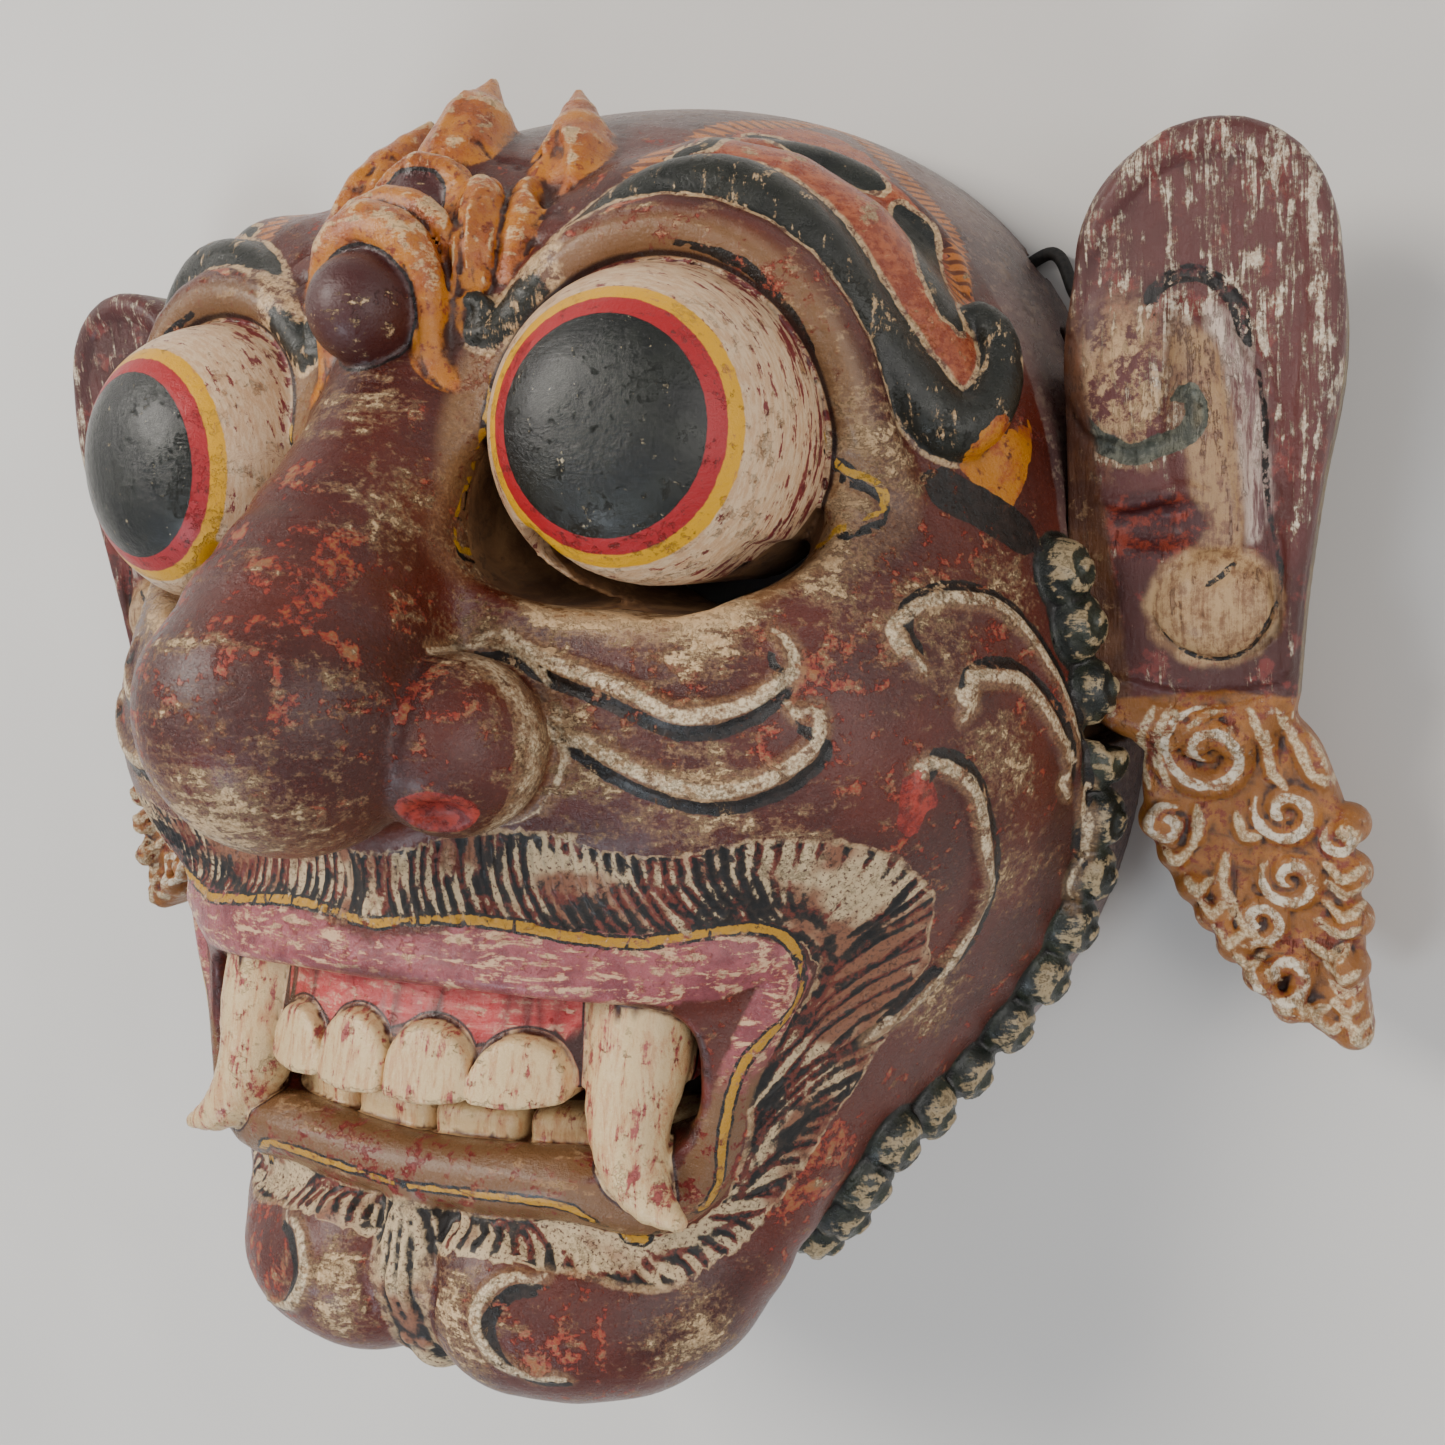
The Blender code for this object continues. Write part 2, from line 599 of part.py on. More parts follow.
def thong_path(samples=26):
    """A closed loop out of the hole, along the head and back in through the notch."""
    radius = 0.5 * THONG_DIAMETER / UNIT
    (hole, hole_out), (notch, notch_out) = thong_places()
    proud, behind = radius + 1.9, WALL / UNIT + radius + 3.2
    middle = 0.5 * (hole + notch)
    middle_out = 0.5 * (hole_out + notch_out)
    loop = [hole + hole_out * proud, middle + middle_out * (proud + 1.8),
            notch + notch_out * proud, notch - notch_out * behind,
            middle - middle_out * behind, hole - hole_out * behind]
    path = curve([loop[-1]] + loop + loop[:2], 8 * 12 + 1)
    closed = path[12:12 * 7]
    pick = np.linspace(0, len(closed) - 1, samples + 1)[:-1].round().astype(int)
    return closed[pick]


# From a form to a mesh

def sample_form(carving, low, high, step):
    """The form's distance on a regular grid, worked out exactly near its surface."""
    axes = [np.arange(low[i], high[i] + step, step, dtype=np.float32) for i in range(3)]
    grid = np.full([len(a) for a in axes], 9.0, np.float32)

    def fill(start):
        cells = tuple(slice(s * BLOCK, (s + 1) * BLOCK) for s in start)
        grid[cells] = sample_block(carving, [a[c] for a, c in zip(axes, cells)], step)

    with ThreadPoolExecutor(4) as workers:
        list(workers.map(fill, np.ndindex(*[-(-len(a) // BLOCK) for a in axes])))
    return grid


def sample_block(carving, axes, step, coarse=4, margin=6.0):
    low = np.array([a[0] for a in axes], float)
    high = np.array([a[-1] for a in axes], float)
    cell = coarse * step
    middles = np.meshgrid(*[a[::coarse] + 0.5 * (coarse - 1) * step for a in axes],
                          indexing="ij")
    rough = carving.distance(tuple(m.ravel() for m in middles), low, high, margin + 2 * cell)
    rough = rough.reshape(middles[0].shape)
    size = tuple(slice(0, len(a)) for a in axes)
    values = np.repeat(np.repeat(np.repeat(rough, coarse, 0), coarse, 1), coarse, 2)[size]
    near = np.argwhere(np.abs(values) < 1.3 * cell + 2 * step)
    if len(near):
        points = tuple(axes[i][near[:, i]] for i in range(3))
        values[tuple(near.T)] = carving.distance(points, low, high, margin)
    return np.clip(values, -9, 9)


def fill_pinches(grid):
    """Where wood touches wood only across a corner, fill the crevice beside it."""
    for _ in range(12):
        found = 0
        for axis in range(3):
            side, other = [a for a in range(3) if a != axis]
            faces = [[slice(None)] * 3 for _ in range(4)]
            for face, (s, o) in zip(faces, ((0, 0), (1, 0), (1, 1), (0, 1))):
                face[side] = slice(s, grid.shape[side] - 1 + s)
                face[other] = slice(o, grid.shape[other] - 1 + o)
            a, b, c, d = [grid[tuple(face)] < 0 for face in faces]
            for pair, empty in (((a, c), (1, 3)), ((b, d), (0, 2))):
                rest = (b, d) if empty == (1, 3) else (a, c)
                pinch = np.argwhere(pair[0] & pair[1] & ~rest[0] & ~rest[1])
                found += len(pinch)
                start = [f.start or 0 for f in faces[empty[0]]]
                grid[tuple((pinch + start).T)] = -0.02
        if not found:
            break


def surface_of(grid, low, step):
    """Surface nets: one corner in each cell that the surface crosses, joined by quads."""
    inside = grid < 0
    quads = []
    for axis in range(3):
        before, after = [slice(None)] * 3, [slice(None)] * 3
        before[axis], after[axis] = slice(0, -1), slice(1, None)
        crossing = np.argwhere(inside[tuple(before)] != inside[tuple(after)])
        side, other = (axis + 1) % 3, (axis + 2) % 3
        leaving = inside[tuple(crossing.T)]
        ring = []
        for back_side, back_other in ((1, 1), (0, 1), (0, 0), (1, 0)):
            corner = crossing.copy()
            corner[:, side] -= back_side
            corner[:, other] -= back_other
            ring.append(np.ravel_multi_index(corner.T, grid.shape))
        ring = np.stack(ring, 1)
        ring[~leaving] = ring[~leaving][:, ::-1]
        quads.append(ring)
    cells, faces = np.unique(np.vstack(quads), return_inverse=True)
    base = np.stack(np.unravel_index(cells, grid.shape), 1)
    total, count = np.zeros((len(cells), 3)), np.zeros(len(cells))
    for a in np.ndindex(2, 2, 2):
        for axis in np.flatnonzero(np.array(a) == 0):
            b = np.array(a)
            b[axis] = 1
            from_a = grid[tuple((base + a).T)].astype(float)
            from_b = grid[tuple((base + b).T)].astype(float)
            crossed = (from_a < 0) != (from_b < 0)
            share = from_a / np.where(crossed, from_a - from_b, 1)
            point = np.tile(np.array(a, float), (len(cells), 1))
            point[:, axis] += share
            total += point * crossed[:, None]
            count += crossed
    corners = (base + total / count[:, None]) * step + low
    return corners, faces.reshape(-1, 4)


# Meshes and objects

def material(name, colour, roughness):
    """A painted or bare surface: a Principled BSDF with its own colour and roughness."""
    made = bpy.data.materials.new(name)
    made.use_nodes = True
    shader = made.node_tree.nodes["Principled BSDF"]
    shader.inputs["Base Color"].default_value = (*colour, 1.0)
    shader.inputs["Roughness"].default_value = roughness
    shader.inputs["Metallic"].default_value = 0.0
    made.diffuse_color = (*colour, 1.0)
    return made


def to_metres(points):
    """Pattern units to metres, with the middle of the mask on the origin."""
    return (np.asarray(points) + (0.0, CENTRE_Y, 0.0)) * UNIT


def new_object(name, corners, faces, surface):
    mesh = bpy.data.meshes.new(name)
    mesh.from_pydata(corners.tolist(), [], faces.tolist())
    mesh.materials.append(surface)
    mesh.shade_smooth()
    made = bpy.data.objects.new(name, mesh)
    bpy.context.collection.objects.link(made)
    return made


def thin_out(made, triangles):
    """Collapse a fine mesh to about so many triangles and put its rim back on the plane."""
    quads = len(made.data.polygons)
    reduce = made.modifiers.new("Decimate", "DECIMATE")
    reduce.ratio = triangles / (2 * quads)
    reduce.use_collapse_triangulate = True
    shown = made.evaluated_get(bpy.context.evaluated_depsgraph_get())
    mesh = bpy.data.meshes.new_from_object(shown)
    made.modifiers.clear()
    made.data = mesh
    rim = 0.6 * SAMPLE_STEP * UNIT
    for corner in mesh.vertices:
        if corner.co.z < rim:
            corner.co.z = 0.0
    mesh.shade_smooth()


def make_mask(surface):
    low = np.array([0.0, -182.0, -2.5 * SAMPLE_STEP])
    half = sample_form(mask_shape(), low, (136.0, 150.0, 182.0), SAMPLE_STEP)
    grid = np.concatenate([half[:0:-1], half])
    fill_pinches(grid)
    low[0] = -SAMPLE_STEP * (len(half) - 1)
    corners, faces = surface_of(grid, low, SAMPLE_STEP)
    mask = new_object("mask", to_metres(corners), faces, surface)
    thin_out(mask, MASK_FACES)


def make_ears(surface):
    """The right ear is sampled, and the left one is its mirror image."""
    low = np.array([104.0, -108.0, -2.5 * SAMPLE_STEP])
    grid = sample_form(ear_shape(), low, (188.0, 110.0, 62.0), SAMPLE_STEP)
    fill_pinches(grid)
    corners, faces = surface_of(grid, low, SAMPLE_STEP)
    near = new_object("ear_left", to_metres(corners), faces, surface)
    thin_out(near, EAR_FACES)
    mesh = near.data
    points = np.array([corner.co for corner in mesh.vertices]) * (-1, 1, 1)
    mirrored = np.array([list(face.vertices)[::-1] for face in mesh.polygons])
    new_object("ear_right", points, mirrored, surface)


def make_thongs(surface):
    for name, side in (("thong_left", 1), ("thong_right", -1)):
        path = to_metres(thong_path()) * (side, 1, 1)
        loop = bpy.data.curves.new(name, "CURVE")
        loop.dimensions = "3D"
        loop.bevel_depth = 0.5 * THONG_DIAMETER
        loop.bevel_resolution = 1
        spline = loop.splines.new("POLY")
        spline.points.add(len(path) - 1)
        for point, place in zip(spline.points, path):
            point.co = (*place, 1.0)
        spline.use_cyclic_u = True
        loop.materials.append(surface)
        made = bpy.data.objects.new(name, loop)
        bpy.context.collection.objects.link(made)


for old in list(bpy.data.objects):
    bpy.data.objects.remove(old, do_unlink=True)

make_mask(material("painted_wood", (0.125, 0.035, 0.022), 0.45))
make_ears(material("ear_wood", (0.160, 0.055, 0.045), 0.55))
make_thongs(material("black_thong", (0.020, 0.018, 0.016), 0.70))
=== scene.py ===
"""The looks of the rakshasa mask: fine carving, worn paint, floor, light and camera.

The mask and its ears are carved again from the same forms as the solids, on a finer
grid and with the relief that the solids leave out. Every painted line and patch is a
signed distance in pattern units, kept on the mesh's corners and cut sharp in the
materials. Lines that only show in the photograph are named by its pixels and are cast
onto the carved surface from the camera. The near half is drawn and the far one mirrors it.
"""
import math
from concurrent.futures import ThreadPoolExecutor

import bpy
import numpy as np
from mathutils import Matrix, Vector


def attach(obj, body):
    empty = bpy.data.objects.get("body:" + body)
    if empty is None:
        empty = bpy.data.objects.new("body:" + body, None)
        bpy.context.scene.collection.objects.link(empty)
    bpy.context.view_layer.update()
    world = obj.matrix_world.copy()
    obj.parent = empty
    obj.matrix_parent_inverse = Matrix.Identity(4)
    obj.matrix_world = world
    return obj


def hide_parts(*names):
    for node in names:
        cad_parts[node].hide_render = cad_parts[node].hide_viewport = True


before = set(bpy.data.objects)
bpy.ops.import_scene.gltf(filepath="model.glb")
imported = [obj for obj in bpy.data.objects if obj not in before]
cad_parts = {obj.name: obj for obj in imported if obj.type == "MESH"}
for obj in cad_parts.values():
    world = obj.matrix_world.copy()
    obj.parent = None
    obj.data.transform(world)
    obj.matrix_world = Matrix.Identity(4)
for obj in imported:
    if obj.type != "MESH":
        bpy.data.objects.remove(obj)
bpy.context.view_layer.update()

# Sizes, in metres, the same as the solids'
MASK_HEIGHT = 0.255
WALL = 0.0095
SIGHT_SLIT = 0.0050
TOOTH_GAP = 0.0048
EAR_THICKNESS = 0.0150
EAR_SEAT_DEPTH = 0.0045
EAR_GAP = 0.0003
THONG_DIAMETER = 0.0026
THONG_CLEARANCE = 0.0021
THONG_SPAN = 0.0200

# Facets
PATTERN = 300.0
SAMPLE_STEP = 0.85
MASK_TRIANGLES = 195000
EAR_TRIANGLES = 60000

UNIT = MASK_HEIGHT / PATTERN
CENTRE_Y = 18.0
BLOCK = 24
EVERYWHERE = (np.full(3, -1e4), np.full(3, 1e4))

# The camera, in pattern units and in pixels of a picture 1445 pixels wide
PICTURE = 1445.0
FOCAL = 1400.0
YAW, PITCH, ROLL = 0.47407, 0.12250, -0.034376
EYE_POINT = np.array([191.8, 17.6, 342.0])


# Curves and blends

def curve(points, count):
    """A smooth curve (Catmull-Rom) of count samples through the points."""
    points = np.asarray(points, float)
    ends = 2 * points[[0, -1]] - points[[1, -2]]
    path = np.vstack([ends[:1], points, ends[1:]])
    spans = len(points) - 1
    samples = []
    for s in np.linspace(0, spans, count):
        i = min(int(s), spans - 1)
        t = s - i
        a, b, c, d = path[i:i + 4]
        samples.append(0.5 * (2 * b + (c - a) * t + (2 * a - 5 * b + 4 * c - d) * t ** 2
                              + (3 * b - a - 3 * c + d) * t ** 3))
    return np.array(samples)


def join(a, b, blend):
    """The union of two distances with a fillet of about blend."""
    if blend <= 0:
        return np.minimum(a, b)
    overlap = np.maximum(blend - np.abs(a - b), 0) / blend
    return np.minimum(a, b) - overlap * overlap * blend * 0.25


def keep(a, b, blend):
    """The part of a that is also in b."""
    return -join(-a, -b, blend)


# Forms: each returns its distance function and the corners of its box

def ellipsoid(centre, radii, turn=None):
    centre, radii = np.array(centre, float), np.array(radii, float)
    turn = np.eye(3) if turn is None else turn

    def distance(p):
        d = turned_offsets(p, centre, turn)
        near = np.sqrt(sum((d[i] / radii[i]) ** 2 for i in range(3)))
        slope = np.sqrt(sum((d[i] / radii[i] ** 2) ** 2 for i in range(3)))
        return near * (near - 1) / np.maximum(slope, 1e-6)

    reach = np.abs(turn) @ radii
    return distance, centre - reach, centre + reach


def block(centre, radii, squareness, turn=None):
    """A rounded block: an ellipsoid at squareness 2, nearer a box as it grows."""
    centre, radii = np.array(centre, float), np.array(radii, float)
    turn = np.eye(3) if turn is None else turn

    def distance(p):
        d = turned_offsets(p, centre, turn)
        q = [np.abs(d[i]) / radii[i] + 1e-6 for i in range(3)]
        size = sum(v ** squareness for v in q) ** (1 / squareness)
        slope = np.sqrt(sum((q[i] ** (squareness - 1) / radii[i]) ** 2 for i in range(3)))
        return (size - 1) / np.maximum(slope * size ** (1 - squareness), 1 / radii.max())

    reach = np.abs(turn) @ radii
    return distance, centre - reach, centre + reach


def turned_offsets(p, centre, turn):
    d = [p[i] - centre[i] for i in range(3)]
    return [sum(turn[j, i] * d[j] for j in range(3)) for i in range(3)]


def barrel(centre, axis, radius, half_length, squareness):
    """A rounded barrel along axis."""
    centre, axis = np.array(centre, float), np.array(axis, float)
    axis = axis / np.linalg.norm(axis)

    def distance(p):
        d = [p[i] - centre[i] for i in range(3)]
        along = sum(d[i] * axis[i] for i in range(3))
        across = np.sqrt(np.maximum(sum(v * v for v in d) - along * along, 0))
        size = (across / radius) ** squareness + (np.abs(along) / half_length) ** squareness
        return (size ** (1 / squareness) - 1) * min(radius, half_length)

    reach = max(radius, half_length)
    return distance, centre - reach, centre + reach


def tube(samples):
    """A round tube along samples of (x, y, z, radius)."""
    samples = np.asarray(samples, float)
    radii = samples[:, 3:]

    def distance(p):
        best = None
        for a, b in zip(samples[:-1], samples[1:]):
            t, d2 = along_segment(p, a, b)
            d = np.sqrt(d2) - (a[3] + t * (b[3] - a[3]))
            best = d if best is None else np.minimum(best, d)
        return best

    return distance, (samples[:, :3] - radii).min(0), (samples[:, :3] + radii).max(0)


def along_segment(p, a, b):
    """Where the nearest point of the segment lies, 0 to 1, and its squared distance."""
    step = b[:3] - a[:3]
    length2 = max(float(step @ step), 1e-9)
    t = sum((p[i] - a[i]) * step[i] for i in range(3)) / length2
    t = np.clip(t, 0, 1)
    return t, sum((p[i] - a[i] - t * step[i]) ** 2 for i in range(3))


def blade(samples, middle, lean, half_thickness, roundness):
    """A flat blade facing +Z that rises by lean along Y, round circles at (x, y, radius)."""
    samples = np.asarray(samples, float)
    flat = np.column_stack([samples[:, :2], np.full(len(samples), middle), samples[:, 2]])
    outline = tube(flat)[0]

    def distance(p):
        side = outline((p[0], p[1], np.full_like(p[0], middle))) + roundness
        face = np.abs(p[2] - middle - lean * p[1]) - half_thickness + roundness
        outside = np.sqrt(np.maximum(side, 0) ** 2 + np.maximum(face, 0) ** 2)
        return outside + np.minimum(np.maximum(side, face), 0) - roundness

    low, high = (flat[:, :2] - flat[:, 3:]).min(0), (flat[:, :2] + flat[:, 3:]).max(0)
    rise = np.array([lean * low[1], lean * high[1]]) + middle
    return distance, np.append(low, rise.min() - half_thickness), np.append(
        high, rise.max() + half_thickness)


def turn_about(axis, degrees):
    c, s = math.cos(math.radians(degrees)), math.sin(math.radians(degrees))
    if axis == "y":
        return np.array([[c, 0, s], [0, 1, 0], [-s, 0, c]])
    return np.array([[c, -s, 0], [s, c, 0], [0, 0, 1]])


class Carving:
    """A list of forms that are added, cut or pressed into the wood in order."""

    def __init__(self):
        self.steps = []

    def add(self, form, blend=1.0):
        self.steps.append(("add", blend) + form)

    def cut(self, form, blend=1.0):
        self.steps.append(("cut", blend) + form)

    def keep(self, form, blend=0.0):
        self.steps.append(("keep", blend) + form)

    def lines(self, routes, half_width, height, count=16, on=None):
        """Raised lines (or grooves, with a negative height) laid on the surface."""
        paths = np.concatenate([curve(route, count)[:, :3] for route in routes])
        paths = (on or self).settle(paths).reshape(-1, count, 3)
        ends = np.linspace(0, 1, count)
        taper = np.minimum(1, 0.35 + 2.2 * np.minimum(ends, 1 - ends))
        for path in paths:
            samples = np.column_stack([path, half_width * taper])
            low, high = path.min(0) - half_width, path.max(0) + half_width
            self.steps.append(("line", 0.0, line_height(samples, height), low, high))

    def distance(self, p, low, high, margin):
        """The distance at points p, which lie in the box from low to high."""
        d = np.full(p[0].shape, 1e3, np.float32)
        for kind, blend, form, form_low, form_high in self.steps:
            reach = margin + blend
            if (form_low > high + reach).any() or (form_high < low - reach).any():
                continue
            if kind == "add":
                d = join(d, form(p), blend)
            elif kind == "cut":
                d = keep(d, -form(p), blend)
            elif kind == "keep":
                d = keep(d, form(p), blend)
            else:
                d = form(p, d)
        return d

    def at(self, points):
        """The distance at a short list of points, mirrored to +X."""
        q = np.asarray(points, float)
        p = (np.abs(q[:, 0]), q[:, 1], q[:, 2])
        return self.distance(p, *EVERYWHERE, 0.0).astype(float)

    def settle(self, points, rounds=6, probe=0.5):
        """Move given points onto the surface."""
        q = np.array(points, float)[:, :3]
        for _ in range(rounds):
            d = self.at(q)
            slope = np.stack([self.at(q + step) - self.at(q - step)
                              for step in np.eye(3) * probe], 1)
            slope /= np.maximum(np.linalg.norm(slope, axis=1, keepdims=True), 1e-6)
            q = q - slope * np.clip(d, -6, 6)[:, None]
        return q


def line_height(samples, height):
    def press(p, d):
        near = np.abs(d) < 8
        if not near.any():
            return d
        q = [v[near] for v in p]
        best = None
        for a, b in zip(samples[:-1], samples[1:]):
            t, d2 = along_segment(q, a, b)
            share = d2 / np.maximum(a[3] + t * (b[3] - a[3]), 0.1) ** 2
            best = share if best is None else np.minimum(best, share)
        out = d.copy()
        out[near] = d[near] - height * np.clip(1 - best, 0, 1)
        return out

    return press


# The face, in pattern units; the near and the far side are mirror images

EYE_CENTRE = (54.0, 40.0, 90.0)
GAZE = (0.139, 0.0, 0.990)
EYE_RADIUS, EYE_HALF_LENGTH, EYE_SQUARENESS = 33.0, 40.5, 2.6
EAR_ROOT_FRONT = 42.5     # height above the rim of an ear's root
EAR_SEAT_X = 126.5 - EAR_SEAT_DEPTH / UNIT
EAR_LEAN = 0.08           # how much an ear rises towards its top

# Tubes and lines: x, y, z and, where there is a fourth number, the radius
LIP = ((0, -60.5, 120, 5.6), (20, -60, 120, 5.6), (40, -61.5, 117, 5.4), (58, -62, 111, 5.4),
       (71, -61, 104, 5.4), (78, -65, 98, 4.6), (74, -76, 101, 4.2), (68.5, -87, 104, 4.2),
       (66, -98, 106, 4.5), (62, -108, 108, 5.5), (52, -112.5, 111, 6.5), (38, -109, 115, 7),
       (18, -110.5, 117, 7), (0, -111.5, 117, 7))
LIP_UPPER_EDGE = ((0, -56.6, 121.8, 3.2), (20, -56.1, 121.6, 3.2), (40, -57.6, 118.4, 3.1),
                  (57, -58.2, 112.6, 3), (69, -58, 105.4, 2.8))
LIP_LOWER_EDGE = ((0, -64.6, 125.6, 2.3), (20, -64.2, 125.2, 2.3), (40, -65.6, 121.2, 2.2),
                  (57, -66, 114.2, 2.1), (67, -66, 107, 2))
FANG = ((50, -74, 105, 11), (50.5, -84, 108.5, 10.4), (50, -94, 112.5, 8.8), (52.5, -102, 116, 7),
        (57.5, -107.5, 118.5, 4.8), (64.5, -110.5, 120, 2))
TEETH_FRONT, TEETH_BOW, TEETH_FLARE = 129.5, 0.0062, 0.30
UPPER_TEETH = ((9.75, 9.75, -86.0), (29.25, 9.75, -88.0))     # middle, half width, arch
LOWER_TEETH = ((10.75, 10.5), (32.25, 10.5), (52, 8.5))
CURL_RADIUS = 7.6
LID = ((21, 48, 104, 3.5), (28, 66, 103, 5), (44, 77, 101, 6), (62, 78.5, 98, 6.4),
       (79, 70, 94, 6.6), (89, 55, 90, 6.4), (93, 40, 86, 6), (98, 27, 80, 3.5))
BROW = ((24, 60.5, 108, 3), (33, 70, 103.5, 4.4), (41, 77.5, 99, 5.4), (49, 83, 95.8, 6.2),
        (58, 86, 93.5, 6.8), (68, 85.5, 90.5, 7.2), (77, 80, 87.5, 7.6), (84, 71.5, 84.5, 7.8),
        (89, 62, 81.5, 7.8), (94, 53, 77.8, 7.6), (100, 44.5, 74, 7.2), (105, 40, 71, 6.6),
        (110, 41.5, 67, 5.8), (112.5, 49, 62, 5), (111.5, 58, 59, 4), (107, 62.5, 59, 3.2),
        (104, 58.5, 62, 2.6))
BROW_CURL = ((20.5, 65.5, 109), 4.4, 2.4)     # middle, radius of the spiral, radius of the band
BORDER = ((43, 91, 96), (52, 100, 84), (63, 106, 72), (75, 106, 62), (86, 100, 56),
          (95, 89, 52), (101, 77, 50), (103, 69, 52))
OUTER_COLLAR = ((0, 90.5, 109, 2.8), (9, 87.5, 109.5, 2.8), (16, 79, 108.5, 2.6),
                (16, 68, 109.5, 2.4), (16.5, 58, 109, 2.4), (21, 52.5, 106.5, 2.6),
                (27.5, 53, 102.5, 2.2))
COLLAR = ((0, 83.5, 115, 5.8), (8, 80, 115, 5.4), (12, 71, 113.5, 4.4), (12, 61, 113, 4),
          (13.5, 53, 112, 4.2), (18.5, 48.5, 108, 4.6), (23, 51, 105, 3.6))
UPPER_COLLAR = ((0, 98, 98, 4.2), (7.5, 95.5, 97, 4), (11, 89, 99, 3.6), (11, 82, 104, 2.8))
JAW_CURLS = ((119, 10, 48), (122, -2, 46), (124, -17, 41), (125, -33, 36), (124.5, -48, 32),
             (122, -62, 30), (117, -76, 30), (109, -89, 32), (99, -100, 36), (89, -107, 46),
             (81, -108, 60), (79, -118, 66), (76, -130, 64), (70, -142, 60))
CHEEK_ARC = ((104, -6, 90), (101, 0, 92), (103, 5, 88), (108, 6, 78), (114, 2, 68),
             (118, -7, 60), (121, -18, 52), (122, -31, 45), (121, -48, 37), (116, -63, 33))
INNER_ARC = ((110, -15, 84), (111, -10, 80), (116, -10, 70), (119, -17, 61), (121, -26, 53),
             (121, -36, 47))
SWIRL = ((104, -31, 93), (107, -24, 92), (111, -29, 83), (111, -40, 76), (108, -52, 69),
         (101, -66, 66), (94, -76, 70), (88, -83, 79))
NOSE_FOLD = ((27, 2, 124), (34, 2, 122), (42, -2, 121), (50, -5, 120), (59, -8, 120),
             (67, -12, 118), (75, -12, 116), (82, -9, 112), (85, -4, 108), (82, 1, 108))
CHEEK_FOLD = ((42, -11, 123), (47, -15, 122), (56, -20, 122), (65, -24, 120), (74, -26, 117),
              (83, -24, 113), (90, -19, 109), (91, -14, 108), (87, -11, 110))
LOBE_ARC = ((40, -147, 128), (31, -145, 134), (25, -139, 136), (23, -132, 134),
            (27, -126, 130), (35, -124, 126))

BAND_INNER = ((0, -55.5, 126), (14, -54.5, 126), (27, -53.5, 124), (42, -55.5, 120),
              (54, -56.5, 116), (66, -55.5, 112), (77, -55.5, 104), (83, -59.5, 96),
              (84, -66, 93), (80, -74, 94), (75, -82, 99), (72.5, -90, 103), (72, -98, 103),
              (70, -106, 104), (66, -113, 106), (59, -119, 109), (50, -120.5, 113),
              (41, -117.5, 118), (31, -116.5, 119), (16, -118.5, 119), (0, -119, 119))
BAND_OUTER = ((0, -41.5, 128), (15, -38, 128), (29, -35, 124), (42, -35.5, 121),
              (54, -38.5, 119), (66, -39, 116), (78, -36, 113), (90, -36.5, 106),
              (100, -41, 95), (104, -51, 86), (102, -62, 80), (97, -74, 77), (91, -85, 79),
              (86, -95, 85), (80, -105, 92), (74, -116, 98), (66, -125, 105), (56, -130, 112),
              (43, -127, 119), (20, -124, 121), (0, -128, 119))


def head_shape():
    """The smooth head that everything is carved on."""
    head = Carving()
    head.add(block((0, 3, -4), (123, 122.5, 119), 2.5), 0)
    head.add(ellipsoid((0, -22, -4), (127, 133, 126)), 26)
    head.add(ellipsoid((58, -22, 62), (55, 46, 56)), 22)
    head.add(ellipsoid((0, -76, 40), (84, 78, 84)), 26)
    head.add(ellipsoid((36, -98, 62), (46, 48, 58)), 24)
    return head


def carve_chin(mask):
    """Two comma-shaped lobes whose tails sweep up along the jaw."""
    lobe = ((20, -137, 108, 22), (40, -138, 100, 20), (58, -128, 88, 16), (73, -112, 82, 9))
    mask.add(tube(curve(lobe, 7)), 6)
    mask.add(ellipsoid((30, -142, 86), (34, 20, 40)), 10)
    mask.add(tube(((0, -118, 115, 9), (0, -134, 119, 9.5), (0, -151, 113, 8))), 3)
    mask.lines([LOBE_ARC], 2.6, 1.6)


def carve_eyes(mask):
    """A deep socket, the swelling of the brow over it, a thick upper lid and the eyeball."""
    mask.cut(socket(0.0), 4)
    swelling = ((20, 58, 96, 9), (34, 76, 88, 12), (58, 86, 78, 14), (82, 74, 72, 14),
                (98, 50, 64, 11))
    mask.add(tube(curve(swelling, 9)), 9)
    mask.add(tube(curve(LID, 16)), 3)
    mask.add(barrel(EYE_CENTRE, GAZE, EYE_RADIUS, EYE_HALF_LENGTH, EYE_SQUARENESS), 0.8)


def socket(wall):
    """The almond hollow under an eyeball, with wall of wood left round it."""
    return block((55, 27, 112), np.array([39.5, 20, 34]) + wall, 2.4)


def carve_nose(mask):
    ridge = ((0, 62, 98, 14), (0, 42, 111, 16), (0, 16, 130, 21), (0, -9, 145, 28.5))
    mask.add(tube(curve(ridge, 9)), 12)
    mask.add(ellipsoid((28, -17, 133), (17.5, 17.5, 17.5)), 2.5)
    mask.cut(ellipsoid((34, -29, 150), (9, 4.5, 9)), 1.5)


def carve_mouth(mask):
    mask.cut(block((0, -86, 128), (70, 21, 30), 3.2), 3)
    for form, blend in lip_forms():
        mask.add(form, blend)


def lip_forms():
    """A round lip that is broad and flat in its upper half."""
    return ((tube(curve(LIP, 34)), 2.2), (tube(curve(LIP_UPPER_EDGE, 9)), 5),
            (tube(curve(LIP_LOWER_EDGE, 9)), 6))


def carve_brow(mask, head):
    """The black brow band, curled at both ends, inside a raised flame border."""
    mask.add(tube(curve(BROW, 44)), 1.5)
    mask.add(brow_curl(), 0.8)
    mask.lines([BORDER], 4.5, 2.6, on=head)
    mask.add(ellipsoid((106, 34, 52), (10, 13, 12)), 2)


